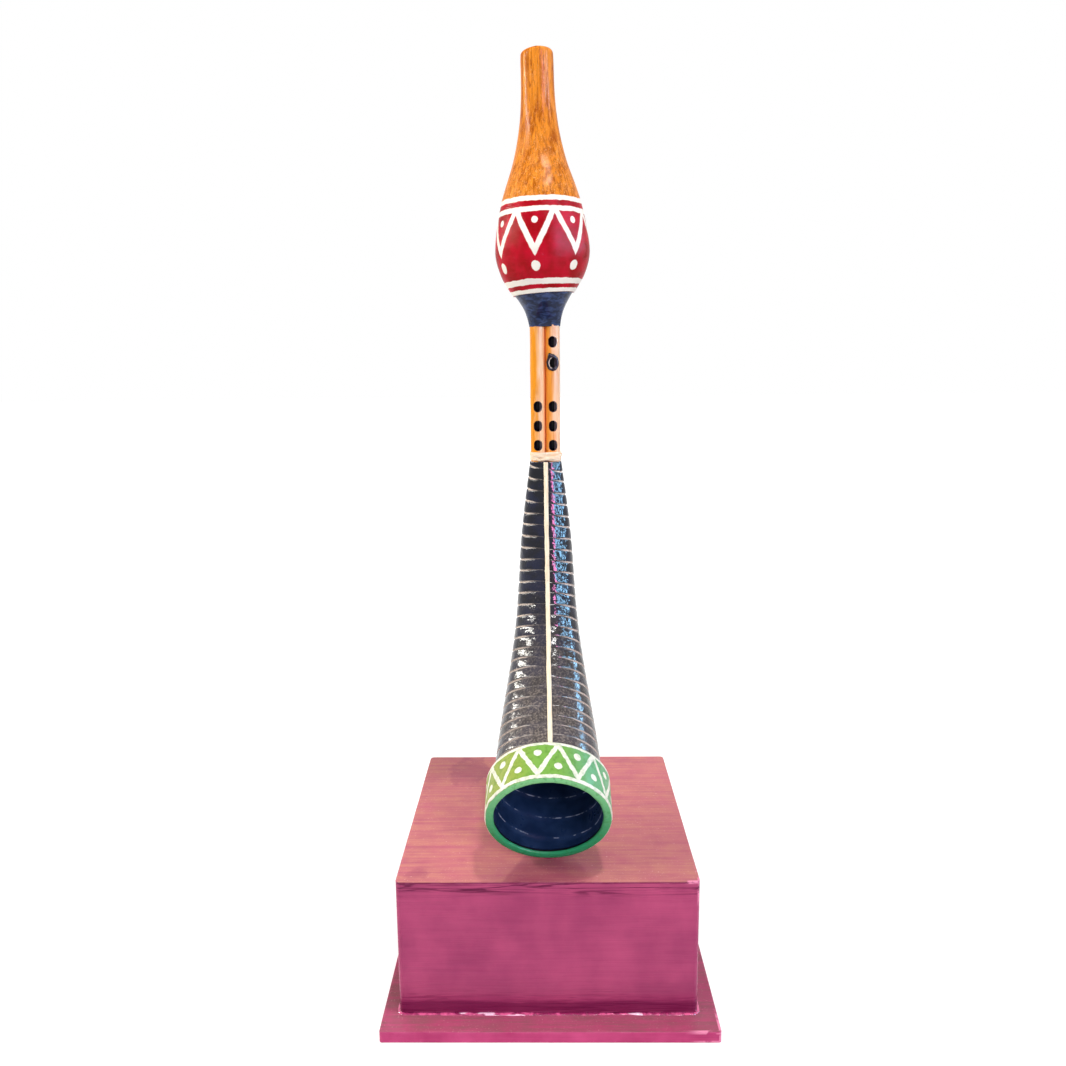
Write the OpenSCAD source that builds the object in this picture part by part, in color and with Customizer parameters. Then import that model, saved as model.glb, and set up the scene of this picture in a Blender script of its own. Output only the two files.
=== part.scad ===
// Gourd hornpipe on a painted stand: a gourd blown from its neck feeds two reed pipes,
// and a horn of wound leaf carries their sound down to a hooped bell that rests on a block.
// Millimetres. +Z is up, the bell faces -Y, and the origin is the middle of the stand's underside.

/* [Stand] */
// Width of the plinth board
plinth_w = 112; // [108:1:150]
// Depth of the plinth board
plinth_d = 118; // [108:1:150]
// Thickness of the plinth board
plinth_t = 4; // [3:0.5:10]
// Side of the square block
block_side = 100; // [90:1:102]
// Height of the block
block_h = 48; // [30:0.5:80]
// How far the block is glued to the left of the plinth's middle
block_shift = 0.5; // [0:0.1:2]
// Rounding of the stand's upright edges
stand_edge_r = 1.5; // [0.5:0.25:4]
// Width of the glue bead round the foot of the block
bead_w = 1.4; // [0.8:0.2:2.4]
// Width of the glue bead at its top
bead_top_w = 0.5; // [0.2:0.1:0.8]
// Height of the glue bead
bead_h = 1.3; // [0.8:0.1:2]
// Distance from the block's front edge back to where the hoop rests
bell_setback = 14.6; // [10:0.2:30]
// Width of the glue bed under the hoop
glue_bed_d = 12; // [8:0.5:16]
// Height of the glue bed under the hoop
glue_bed_h = 4.5; // [3:0.5:6]

/* [Horn] */
// Length of the horn along its curved axis, from the pipes to the mouth
horn_len = 135.6; // [115:0.2:160]
// Angle of the mouth's axis from the vertical
bell_tilt = 64.4; // [50:0.2:75]
// How late the bend comes: 1 is an even bend
bend_power = 1.2; // [1:0.05:1.6]
// Horn diameter at the shoulder, below the pipes
horn_shoulder_d = 18.6; // [16:0.1:21]
// Distance of the shoulder down the axis
horn_shoulder_s = 27; // [20:0.5:35]
// Horn diameter at the waist, near the middle
horn_waist_d = 23.4; // [20:0.1:26]
// Distance of the waist down the axis
horn_waist_s = 61; // [50:0.5:72]
// Horn diameter where the bell opens
horn_flare_d = 34.7; // [29:0.1:36]
// Distance of that opening down the axis
horn_flare_s = 105; // [90:0.5:108]
// Horn diameter at the mouth, under the hoop
horn_mouth_d = 39.2; // [36:0.1:39.6]
// Length over which the oval top of the horn turns round
oval_len = 45; // [25:1:70]
// Step from one turn of leaf to the next
leaf_pitch = 4.4; // [3.6:0.1:6]
// Open line between two turns of leaf
leaf_gap = 0.55; // [0.5:0.05:0.9]
// Thickness of the leaf strip
leaf_t = 0.7; // [0.5:0.05:1]
// Thickness of the leaf strip at the top of the horn
leaf_top_t = 0.3; // [0.25:0.05:0.5]
// Thickness of the lining leaf
lining_t = 0.5; // [0.4:0.05:0.8]
// Thickness of the lining leaf at the top of the horn
lining_top_t = 0.3; // [0.25:0.05:0.5]
// Length over which the leaf thickens below the pipes
thicken_len = 16; // [8:1:30]

/* [Hoop] */
// Outer diameter of the hoop
hoop_d = 42.2; // [41.8:0.2:48]
// Width of the straight hoop along its axis
hoop_w = 14.9; // [8:0.1:20]
// Thickness of the hoop's front lip
hoop_lip_t = 1.5; // [1:0.1:3]

/* [Splint] */
// Width of the bamboo splint
splint_w = 1.8; // [1.2:0.1:2.6]
// Thickness of the bamboo splint
splint_t = 0.7; // [0.5:0.05:1.2]
// Sideways drift of the splint at the hoop
splint_drift = 0.8; // [0:0.1:1.5]

/* [Pipes] */
// Outer diameter of each pipe
pipe_d = 5.5; // [5:0.1:6.5]
// Bore of each pipe
pipe_bore_d = 3.7; // [3.6:0.1:3.9]
// Length of pipe that shows between the horn and the wax collar
pipe_show = 49.1; // [47.5:0.1:70]
// Diameter of the shaved pipe end inside the horn
tenon_d = 4.7; // [4.5:0.05:4.9]
// Length of the shaved pipe end
tenon_len = 9; // [6:0.5:14]
// Width of a finger hole
hole_w = 2.8; // [2:0.1:3.2]
// Height of a finger hole
hole_h = 3.8; // [3.3:0.1:4.6]
// Finger holes that both pipes share
finger_holes = 3; // [2:1:4]
// Height of the lowest finger hole above the horn
first_hole = 6; // [6:0.1:9]
// Step from one finger hole to the next
hole_step = 7.1; // [5:0.1:9]
// Height of the waxed tuning hole above the horn
tuning_hole = 36; // [32:0.1:38]
// Height of the upper hole above the horn
upper_hole = 43.5; // [42.5:0.1:45]
// Outer diameter of the wax round the tuning hole
tuning_wax_d = 4.6; // [4.2:0.1:5]
// How far the tuning wax stands out from the pipe
tuning_wax_t = 0.6; // [0.3:0.1:1]

/* [Lashing] */
// Diameter of the lashing strand
lashing_d = 0.55; // [0.5:0.05:0.8]
// Turns of lashing round the two pipes
lashing_turns = 3; // [2:1:3]
// Space between two turns of lashing
lashing_gap = 0.45; // [0.42:0.01:0.5]

/* [Wax collar] */
// Height of the wax collar between the pipes and the gourd
collar_h = 11.3; // [8:0.1:20]
// Diameter of the wax collar where it meets the gourd
collar_top_d = 20.8; // [19:0.2:22]
// Thickness of wax beside the pipes at the foot of the collar
collar_skin = 0.3; // [0.3:0.1:1]
// Thickness of wax in front of the pipes at the foot of the collar
collar_front_skin = 0.7; // [0.5:0.1:1.5]
// Length of the wax plug inside the gourd
plug_len = 4; // [3:0.5:8]

/* [Gourd] */
// Height of the gourd with its neck
gourd_h = 82.5; // [76:0.1:110]
// Diameter of the gourd where it sits on the wax
gourd_foot_d = 22.4; // [20:0.2:26]
// Diameter of the gourd low on the bulb
cheek_d = 30.4; // [27:0.2:32]
// Height of that diameter above the foot
cheek_h = 6.9; // [5:0.1:8]
// Largest diameter of the bulb
belly_d = 34; // [32:0.2:40]
// Height of the largest diameter above the foot
belly_h = 15.2; // [12:0.1:18]
// Diameter at the shoulder
shoulder_d = 28.4; // [25:0.2:31]
// Height of the shoulder above the foot
shoulder_h = 31.7; // [26:0.1:36]
// Diameter at the throat
throat_d = 17.9; // [15:0.1:21]
// Height of the throat above the foot
throat_h = 47.6; // [42:0.1:52]
// Diameter where the neck begins
neck_root_d = 12.6; // [11.5:0.1:14]
// Height where the neck begins
neck_root_h = 62.5; // [57:0.5:68]
// Diameter of the neck at its top
neck_d = 11.4; // [10:0.1:12.5]
// Rounding of the neck's top edge
neck_lip_r = 1.6; // [0.5:0.1:2.4]
// Wall of the gourd
gourd_wall = 2.6; // [1.8:0.1:3.4]
// Bore that the breath goes in by
blow_bore_d = 5; // [3.5:0.1:6]
// Opening in the gourd's foot for the pipes and their wax
gourd_mouth_d = 15.2; // [14.4:0.1:16]
// Lean of the gourd to the left
gourd_lean = 1.3; // [0:0.1:3]

/* [Reeds] */
// Outer diameter of each reed tube
reed_d = 3.5; // [3.2:0.05:3.5]
// Bore of each reed tube
reed_bore_d = 2.3; // [2:0.1:2.5]
// Length of each reed tube
reed_len = 22; // [20.5:0.5:30]
// Length of reed pushed into the pipe
reed_seat = 6; // [4:0.5:7]
// Thickness of the natural node that closes the reed's top
reed_node_t = 1.5; // [1:0.1:2.5]
// Free length of the reed tongue
tongue_len = 9; // [6:0.5:10]
// Width of the reed tongue
tongue_w = 1.4; // [1:0.05:1.6]
// Thickness of the reed tongue
tongue_t = 0.4; // [0.3:0.05:0.45]
// Height of the thread above the end of the pipe
thread_up = 2; // [1:0.1:3]
// Width of the thread bound over the tongue's root
thread_w = 1.6; // [1:0.1:2]
// Thickness of the bound thread
thread_t = 0.35; // [0.25:0.05:0.5]

/* [Fits] */
// Space between two pieces that are glued or waxed together
fit_gap = 0.05; // [0.04:0.01:0.08]
// Space between the lining and the leaf strips laid on it
lay_gap = 0.08; // [0.06:0.01:0.12]
// Room round the reed tongue in its window
tongue_gap = 0.1; // [0.08:0.01:0.15]

/* [Hidden] */
$fn = 64;

// Sides of a turn of leaf, of the hoop and of the lashing strand
loop_sides = 24;
hoop_sides = 48;
strand_sides = 6;
strip_count = 6;

// Reach of a cutting tool past the face that it cuts
over = 1;

deck_z = plinth_t + block_h;
hoop_r = hoop_d / 2;
pipe_pitch = pipe_d + fit_gap;
leaf_len = horn_len - hoop_lip_t;

// Straight-line share of a value between two ends, and a smooth step from 0 to 1
function mix(a, b, t) = a + (b - a) * t;
function ease(t) = let (c = min(max(t, 0), 1)) c * c * (3 - 2 * c);

// Smooth curve through points [x, y], whose slopes come from each point's neighbours
function slope(p, i) =
    let (a = p[max(i - 1, 0)], b = p[min(i + 1, len(p) - 1)])
    (b[1] - a[1]) / (b[0] - a[0]);
function span_of(x, p, i = 0) =
    i >= len(p) - 2 || x <= p[i + 1][0] ? i : span_of(x, p, i + 1);
function smooth_at(x, p) =
    let (i = span_of(x, p), w = p[i + 1][0] - p[i][0], t = (x - p[i][0]) / w)
    (2 * t * t * t - 3 * t * t + 1) * p[i][1]
    + (t * t * t - 2 * t * t + t) * w * slope(p, i)
    + (3 * t * t - 2 * t * t * t) * p[i + 1][1]
    + (t * t * t - t * t) * w * slope(p, i + 1);

// The horn's top is an oval that just takes in the two shaved pipe ends
top_wall = leaf_top_t + lay_gap + lining_top_t;
top_bore_w = pipe_pitch / 2 + tenon_d / 2 + 2 * fit_gap;
top_bore_d = sqrt(top_bore_w * tenon_d / 2) + 4 * fit_gap;
top_half_w = top_bore_w + top_wall;
top_half_d = top_bore_d + top_wall;
horn_outline = [
    [0, top_half_w], [horn_shoulder_s, horn_shoulder_d / 2], [horn_waist_s, horn_waist_d / 2],
    [horn_flare_s, horn_flare_d / 2], [horn_len, horn_mouth_d / 2]
];

// The horn's outer surface at the distance s down its axis: half-width and half-depth
function horn_w(s) = smooth_at(s, horn_outline);
function horn_d(s) = horn_w(s) - (top_half_w - top_half_d) * ease(1 - s / oval_len);
function leaf_at(s) = mix(leaf_top_t, leaf_t, min(s / thicken_len, 1));
function lining_at(s) = mix(lining_top_t, lining_t, min(s / thicken_len, 1));

// The horn's axis bends towards the front on its way down, and ends at the hoop's mouth
function tilt(s) = bell_tilt * pow(min(max(s / horn_len, 0), 1), bend_power);
function down(s) = [0, -sin(tilt(s)), -cos(tilt(s))];
function front(s) = [0, -cos(tilt(s)), sin(tilt(s))];
axis_steps = 90;
axis_step = horn_len / axis_steps;
function axis_stride(i) = axis_step * down((i + 1 / 2) * axis_step);
axis_walk = [
    for (i = 0, p = [0, 0, 0]; i <= axis_steps; p = p + axis_stride(i), i = i + 1) p
];
seat_y = -block_side / 2 + bell_setback;
mouth = [0, seat_y - hoop_r * cos(bell_tilt), deck_z + fit_gap + hoop_r * sin(bell_tilt)];
horn_top = mouth - axis_walk[axis_steps];
function axis_at(s) =
    let (k = min(max(s / axis_step, 0), axis_steps), i = min(floor(k), axis_steps - 1))
    horn_top + mix(axis_walk[i], axis_walk[i + 1], k - i);

// A point round the axis at s, at an angle from the front that grows towards the right
function round_horn(s, w, d, angle) =
    axis_at(s) + [w * sin(angle), 0, 0] + d * cos(angle) * front(s);

// A leaf strip's edges at station j of the winding, which starts at the back of the horn
strip_w = leaf_pitch - leaf_gap;
least_strip_w = 0.6;
function strip_low(j) = min(leaf_pitch * j / loop_sides, leaf_len);
function strip_high(j) = max(leaf_pitch * j / loop_sides - strip_w, 0);
first_station = ceil(least_strip_w / leaf_pitch * loop_sides);
last_station = floor((leaf_len + strip_w - least_strip_w) / leaf_pitch * loop_sides);
strip_stations = ceil((last_station - first_station) / strip_count);
// Share of a station left open where one strip ends and the next begins
strip_joint = 0.2;
function strip_angle(j) = 180 + j * 360 / loop_sides;
function strip_section(j) = [
    for (e = [[strip_high(j), 0], [strip_low(j), 0], [strip_low(j), 1], [strip_high(j), 1]])
        let (inset = e[1] * leaf_at(e[0]))
        round_horn(e[0], horn_w(e[0]) - inset, horn_d(e[0]) - inset, strip_angle(j))
];
strip_least_gap = min([
    for (j = [first_station : last_station - loop_sides])
        let (a = strip_section(j), b = strip_section(j + loop_sides))
        min(norm(a[1] - b[0]), norm(a[2] - b[3]))
]);
echo(leaf_strip_least_gap = strip_least_gap);

// The lashing climbs round both pipes in one strand
arc_stations = 11;
lashing_path_r = pipe_d / 2 + fit_gap + lashing_d / 2;
lashing_climb = lashing_d + lashing_gap;
lashing_stations = 2 * arc_stations * lashing_turns;
function lashing_point(j) =
    let (
        side = floor(j / arc_stations) % 2 == 0 ? 1 : -1,
        angle = (j % arc_stations) * 180 / (arc_stations - 1)
    )
    [
        side * (pipe_pitch / 2 + lashing_path_r * sin(angle)),
        side * lashing_path_r * cos(angle),
        lashing_d / 2 + fit_gap + lashing_climb * j / (2 * arc_stations)
    ];
// Both ends run straight for one strand diameter, along the back of the pipes
lashing_route = [
    lashing_point(0) - [lashing_d, 0, 0],
    for (j = [0 : lashing_stations - 1]) lashing_point(j),
    lashing_point(lashing_stations - 1) + [lashing_d, 0, 0]
];
lashing_least_gap = min([
    for (i = [0 : len(lashing_route) - 1], j = [i + arc_stations + 1 : 1 : len(lashing_route) - 1])
        norm(lashing_route[i] - lashing_route[j])
]) - lashing_d;
echo(lashing_least_gap = lashing_least_gap);

// Outline of the splint's section, in half-widths and thicknesses
splint_section = [[-1, 0], [-1, 0.6], [-0.5, 1], [0.5, 1], [1, 0.6], [1, 0]];
// The splint ends where its outer face meets the back of the hoop
splint_tries = 4 * axis_steps;
function behind_mouth(p) = (mouth - p) * down(horn_len);
splint_foot = max([
    for (i = [0 : splint_tries])
        let (s = horn_len * i / splint_tries, d = horn_d(s) + lay_gap + splint_t)
        if (behind_mouth(round_horn(s, 0, d, 0)) > hoop_w + fit_gap) s
]);

// Share of straight taper in the collar's sides, which curve out to the gourd
collar_taper = 0.25;

// Heights on the pipes, all above the horn's top
finger_heights = [for (i = [0 : finger_holes - 1]) first_hole + i * hole_step];
collar_z = pipe_show;
pipe_top = pipe_show + collar_h + plug_len;
reed_foot = pipe_top - reed_seat;
thread_foot = reed_seat + thread_up;
hinge_up = thread_foot + thread_w;
tongue_y = -(reed_d / 2 - tongue_gap - tongue_t / 2);
hinge = horn_top + [pipe_pitch / 2, tongue_y, reed_foot + hinge_up];
echo(horn_top = horn_top, mouth = mouth, hinge = hinge, splint_foot = splint_foot);

// The gourd's outline above its foot
gourd_outline = [
    [0, gourd_foot_d / 2], [cheek_h, cheek_d / 2], [belly_h, belly_d / 2], [shoulder_h, shoulder_d / 2],
    [throat_h, throat_d / 2], [neck_root_h, neck_root_d / 2], [gourd_h, neck_d / 2]
];
outline_step = 2;
function gourd_r(h) = smooth_at(h, gourd_outline);

module on_horn_top() translate(horn_top) children();

// The block and what is round its foot sit a little off the middle of the plinth
module on_plinth() translate([-block_shift, 0, plinth_t]) children();

// The mouth's own axis, which runs back up into the hoop
module from_mouth() translate(mouth) rotate([-bell_tilt, 0, 0]) children();

module on_pipe(side) on_horn_top() translate([side * pipe_pitch / 2, 0, 0]) children();

// The collar and the gourd lean together about the collar's foot
module leaning() on_horn_top() translate([0, 0, collar_z]) rotate([0, -gourd_lean, 0]) children();

module rounded_slab(w, d, h, r) {
    for (x = [-1, 1], y = [-1, 1])
        translate([x * (w / 2 - r), y * (d / 2 - r), 0]) cylinder(r = r, h = h);
    translate([-w / 2 + r, -d / 2, 0]) cube([w - 2 * r, d, h]);
    translate([-w / 2, -d / 2 + r, 0]) cube([w, d - 2 * r, h]);
}

// A closed skin of rings, one for each group of points, joined last to first where closed
module ring_skin(rings, closed) {
    n = len(rings);
    m = len(rings[0]);
    sides = [
        for (i = [0 : closed ? n - 1 : n - 2], k = [0 : m - 1])
            let (
                here = i * m,
                next = (i + 1) % n * m,
                beside = (k + 1) % m
            )
            each [[here + k, here + beside, next + beside], [here + k, next + beside, next + k]]
    ];
    caps = closed ? [] : [
        for (k = [1 : m - 2]) each [[0, k + 1, k], [(n - 1) * m, (n - 1) * m + k, (n - 1) * m + k + 1]]
    ];
    polyhedron([for (r = rings) each r], concat(sides, caps));
}

// A band round the horn: each outline point [s, half-width, half-depth] is one ring
module horn_band(outline, sides) {
    ring_skin([
        for (o = outline) [for (k = [0 : sides - 1]) round_horn(o[0], o[1], o[2], -k * 360 / sides)]
    ], true);
}

// Room for both pipes side by side, with the space between them opened
module pipe_pair_room(d, z, h) {
    for (side = [-1, 1])
        translate([side * pipe_pitch / 2, 0, z]) cylinder(d = d + 2 * fit_gap, h = h);
    translate([-pipe_pitch / 2, -d / 4, z]) cube([pipe_pitch, d / 2, h]);
}

module plinth_board() {
    color("mediumvioletred") rounded_slab(plinth_w, plinth_d, plinth_t, stand_edge_r);
}

module pedestal_block() {
    color("palevioletred") on_plinth() rounded_slab(block_side, block_side, block_h, stand_edge_r);
}

module foot_bead() {
    inner = block_side + 2 * fit_gap;
    outer = inner + 2 * bead_w;
    top_share = (inner + 2 * bead_top_w) / outer;
    color("pink") on_plinth() difference() {
        linear_extrude(height = bead_h, scale = top_share) square(outer, center = true);
        translate([0, 0, bead_h / 2]) cube([inner, inner, bead_h + 2 * over], center = true);
    }
}

module bell_glue_bed() {
    color("burlywood") difference() {
        translate([0, seat_y + glue_bed_d / 2, deck_z]) cylinder(d = glue_bed_d, h = glue_bed_h);
        from_mouth() cylinder(r = hoop_r + fit_gap, h = 2 * horn_len, center = true);
    }
}

// A straight hoop, bored to the horn's own curve, with a lip over the ends of the leaf
module bell_hoop() {
    bore_steps = 10;
    bore_back = horn_len - 3 / 2 * hoop_w;
    lip_bore = horn_w(leaf_len) - leaf_t - lay_gap - lining_t;
    color("mediumseagreen") difference() {
        from_mouth() cylinder(r = hoop_r, h = hoop_w, $fn = hoop_sides);
        ring_skin([
            for (i = [0 : bore_steps])
                let (s = mix(leaf_len + fit_gap, bore_back, i / bore_steps), r = horn_w(s) + fit_gap)
                [for (k = [0 : hoop_sides - 1]) round_horn(s, r, r, -k * 360 / hoop_sides)]
        ], false);
        from_mouth() translate([0, 0, -over])
            cylinder(r = lip_bore, h = hoop_lip_t + 2 * over, $fn = hoop_sides);
    }
}

module horn_lining() {
    steps = 24;
    outer = [
        for (i = [0 : steps])
            let (s = leaf_len * i / steps, inset = leaf_at(s) + lay_gap)
            [s, horn_w(s) - inset, horn_d(s) - inset]
    ];
    inner = [
        for (i = [steps : -1 : 0])
            let (s = leaf_len * i / steps, inset = leaf_at(s) + lay_gap + lining_at(s))
            [s, horn_w(s) - inset, horn_d(s) - inset]
    ];
    color("wheat") horn_band(concat(inner, outer), loop_sides);
}

// One leaf of the winding, which goes several times round the lining
module leaf_strip(index) {
    from = first_station + (index - 1) * strip_stations;
    to = min(from + strip_stations, last_station);
    stations = [from + strip_joint, for (j = [from + 1 : to - 1]) j, to - strip_joint];
    color("midnightblue") ring_skin([for (j = stations) strip_section(j)], false);
}

module horn_splint() {
    steps = 30;
    color("cornsilk") ring_skin([
        for (i = [0 : steps])
            let (s = splint_foot * i / steps, x = splint_drift * i / steps, d = horn_d(s) + lay_gap)
            [
                for (e = splint_section)
                    axis_at(s) + [x + e[0] * splint_w / 2, 0, 0] + (d + e[1] * splint_t) * front(s)
            ]
    ], false);
}

// Wax in front of and behind the shaved pipe ends, inside the lining
module horn_seal() {
    color("darkslategray") on_horn_top() difference() {
        translate([0, 0, -tenon_len]) linear_extrude(height = tenon_len) polygon([
            for (k = [0 : loop_sides - 1])
                let (angle = k * 360 / loop_sides)
                [(top_bore_w - fit_gap) * sin(angle), (top_bore_d - fit_gap) * cos(angle)]
        ]);
        pipe_pair_room(tenon_d, -tenon_len - over, tenon_len + 2 * over);
        translate([0, 0, -tenon_len / 2])
            cube([2 * (top_bore_w + over), tenon_d / 2, tenon_len + 2 * over], center = true);
    }
}

// An upright oval hole through the front wall of a pipe
module finger_hole(z) {
    spread = (hole_h - hole_w) / 2;
    for (lift = [-spread, spread])
        translate([0, 0, z + lift]) rotate([90, 0, 0]) cylinder(d = hole_w, h = pipe_d);
    translate([-hole_w / 2, -pipe_d, z - spread]) cube([hole_w, pipe_d, 2 * spread]);
}

// A bored pipe with a shaved foot and its holes cut from the front
module pipe(side, heights) {
    on_pipe(side) difference() {
        union() {
            cylinder(d = pipe_d, h = pipe_top);
            translate([0, 0, -tenon_len]) cylinder(d = tenon_d, h = tenon_len + over);
        }
        translate([0, 0, -tenon_len - over])
            cylinder(d = pipe_bore_d, h = tenon_len + pipe_top + 2 * over);
        for (z = heights) finger_hole(z);
    }
}

module left_pipe() color("sandybrown") pipe(-1, finger_heights);

module right_pipe() color("sandybrown") pipe(1, concat(finger_heights, [tuning_hole, upper_hole]));

module tuning_wax() {
    color("black") on_pipe(1) difference() {
        translate([0, 0, tuning_hole]) rotate([90, 0, 0])
            cylinder(d = tuning_wax_d, h = pipe_d / 2 + tuning_wax_t);
        finger_hole(tuning_hole);
        translate([0, 0, tuning_hole - tuning_wax_d])
            cylinder(d = pipe_d + 2 * fit_gap, h = 2 * tuning_wax_d);
    }
}

module pipe_lashing() {
    last = len(lashing_route) - 1;
    color("moccasin") on_horn_top() ring_skin([
        for (i = [0 : last])
            let (
                along = lashing_route[min(i + 1, last)] - lashing_route[max(i - 1, 0)],
                out = [along[1], -along[0], 0] / norm([along[0], along[1]])
            )
            [
                for (k = [0 : strand_sides - 1])
                    let (angle = k * 360 / strand_sides)
                    lashing_route[i] + lashing_d / 2 * (cos(angle) * out + [0, 0, sin(angle)])
            ]
    ], false);
}

// Wax moulded from an oval foot round the pipes to the round foot of the gourd
module wax_collar() {
    steps = 5;
    foot_w = pipe_pitch / 2 + pipe_d / 2 + collar_skin;
    foot_d = pipe_d / 2 + collar_front_skin;
    rings = [
        for (i = [0 : steps])
            let (
                t = i / steps,
                w = mix(foot_w, collar_top_d / 2, t * mix(collar_taper, 1, t)),
                d = mix(foot_d, collar_top_d / 2, ease(t))
            )
            [
                for (k = [0 : loop_sides - 1])
                    let (angle = k * 360 / loop_sides)
                    [w * sin(angle), d * cos(angle), collar_h * t]
            ]
    ];
    color("midnightblue") difference() {
        leaning() {
            ring_skin(rings, false);
            translate([0, 0, collar_h - over])
                cylinder(d = gourd_mouth_d - 2 * fit_gap, h = plug_len + over);
        }
        on_horn_top() pipe_pair_room(pipe_d, collar_z - over, collar_h + plug_len + 2 * over);
    }
}

module gourd() {
    bore_r = blow_bore_d / 2;
    lip_steps = 5;
    outer = [
        for (h = [0 : outline_step : gourd_h - neck_lip_r - outline_step / 2]) [gourd_r(h), h],
        for (i = [0 : lip_steps])
            let (a = 90 * i / lip_steps)
            [gourd_r(gourd_h) - neck_lip_r * (1 - cos(a)), gourd_h - neck_lip_r * (1 - sin(a))]
    ];
    // The chamber narrows with the outside until it meets the blowing bore
    chamber = [
        for (h = [gourd_h - outline_step : -outline_step : gourd_wall])
            if (gourd_r(h) - gourd_wall > bore_r) [gourd_r(h) - gourd_wall, h]
    ];
    bore = [[bore_r, gourd_h], [bore_r, chamber[0][1] + outline_step]];
    mouth_rim = [[gourd_mouth_d / 2, gourd_wall], [gourd_mouth_d / 2, 0]];
    color("peru") leaning() translate([0, 0, collar_h])
        rotate_extrude() polygon(concat(outer, bore, chamber, mouth_rim));
}

// Reed pieces stand in the top of their pipe
module on_reed(side) on_pipe(side) translate([0, 0, reed_foot]) children();

module reed(side) {
    window_w = tongue_w + 2 * tongue_gap;
    window_h = thread_w + tongue_len + 3 * tongue_gap;
    color("khaki") on_reed(side) difference() {
        cylinder(d = reed_d, h = reed_len);
        translate([0, 0, -over]) cylinder(d = reed_bore_d, h = reed_len - reed_node_t + over);
        translate([-window_w / 2, -reed_d, thread_foot - tongue_gap]) cube([window_w, reed_d, window_h]);
    }
}

// The tongue's root lies under the thread, and its free end stands up along the window
module tongue(side) {
    color("goldenrod") on_reed(side)
        translate([-tongue_w / 2, tongue_y - tongue_t / 2, thread_foot])
            cube([tongue_w, tongue_t, thread_w + tongue_len]);
}

module reed_thread(side) {
    color("firebrick") on_reed(side) translate([0, 0, thread_foot]) difference() {
        cylinder(d = reed_d + 2 * fit_gap + 2 * thread_t, h = thread_w);
        translate([0, 0, -over]) cylinder(d = reed_d + 2 * fit_gap, h = thread_w + 2 * over);
    }
}

plinth_board();
pedestal_block();
foot_bead();
bell_glue_bed();
bell_hoop();
horn_lining();
leaf_strip(1);  // leaf_strip_1
leaf_strip(2);  // leaf_strip_2
leaf_strip(3);  // leaf_strip_3
leaf_strip(4);  // leaf_strip_4
leaf_strip(5);  // leaf_strip_5
leaf_strip(6);  // leaf_strip_6
horn_splint();
horn_seal();
left_pipe();
right_pipe();
tuning_wax();
pipe_lashing();
wax_collar();
gourd();
reed(-1);  // left_reed
reed(1);  // right_reed
tongue(-1);  // left_tongue
tongue(1);  // right_tongue
reed_thread(-1);  // left_thread
reed_thread(1);  // right_thread
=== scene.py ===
import math

import bmesh
import bpy
from mathutils import Matrix, Vector, noise


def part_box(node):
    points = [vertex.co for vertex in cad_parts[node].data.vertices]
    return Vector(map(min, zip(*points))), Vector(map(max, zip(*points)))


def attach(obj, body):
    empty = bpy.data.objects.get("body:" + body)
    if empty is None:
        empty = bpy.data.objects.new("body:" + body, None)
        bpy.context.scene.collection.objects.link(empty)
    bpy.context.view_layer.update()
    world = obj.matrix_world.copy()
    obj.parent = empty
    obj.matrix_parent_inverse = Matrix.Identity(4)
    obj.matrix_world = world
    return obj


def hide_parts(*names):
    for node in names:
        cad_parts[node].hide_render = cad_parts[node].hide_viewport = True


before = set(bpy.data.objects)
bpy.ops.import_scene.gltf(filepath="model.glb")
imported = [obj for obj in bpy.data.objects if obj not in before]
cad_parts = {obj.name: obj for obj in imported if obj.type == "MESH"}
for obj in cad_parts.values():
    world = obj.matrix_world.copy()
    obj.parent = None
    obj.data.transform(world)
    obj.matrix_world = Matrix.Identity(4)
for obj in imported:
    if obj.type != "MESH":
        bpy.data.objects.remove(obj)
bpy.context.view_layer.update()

# Plinth board
# A thin sawn board under everything, sanded round at its edges and brushed with maroon-pink paint.
# Dust has settled on its top, and the block is glued to the middle of it.
mm = 0.001
carrier = "instrument"
plinth_edge = 0.25 * mm
plinth_corner = 0.9 * mm
plinth_hollow = 0.06 * mm
slab_grid = 4 * mm
hollow_reach = 22 * mm
corner_stops = (0.9, 0.7, 0.5, 0.3, 0.15)
edge_stops = (0.2, 0.41, 0.67, 1.0)


def tint(red, green, blue):
    """A colour as it looks on a screen, 0 to 255, turned into the linear colour that a shader takes."""
    shares = [c / 255 for c in (red, green, blue)]
    return tuple(c / 12.92 if c <= 0.04045 else ((c + 0.055) / 1.055) ** 2.4 for c in shares) + (1.0,)


def new_piece(name, points, faces, wraps=None, sharp=45):
    """A smooth-shaded piece; wraps gives each face corner its place on the wrap map."""
    mesh = bpy.data.meshes.new(name)
    mesh.from_pydata(points, [], faces)
    if wraps:
        layer = mesh.uv_layers.new(name="wrap")
        layer.uv.foreach_set("vector", [c for pair in wraps for c in pair])
    work = bmesh.new()
    work.from_mesh(mesh)
    bmesh.ops.recalc_face_normals(work, faces=work.faces)
    work.to_mesh(mesh)
    work.free()
    mesh.shade_smooth()
    mesh.set_sharp_from_angle(angle=math.radians(sharp))
    piece = bpy.data.objects.new(name, mesh)
    bpy.context.scene.collection.objects.link(piece)
    return piece


def dress(piece, slot_name, nodes, *finishes):
    """Gives a piece its finishes, and lets it stand for CAD nodes on the body that carries them."""
    for one in finishes:
        piece.data.materials.append(one)
    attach(piece, carrier)
    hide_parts(*nodes)


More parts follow.
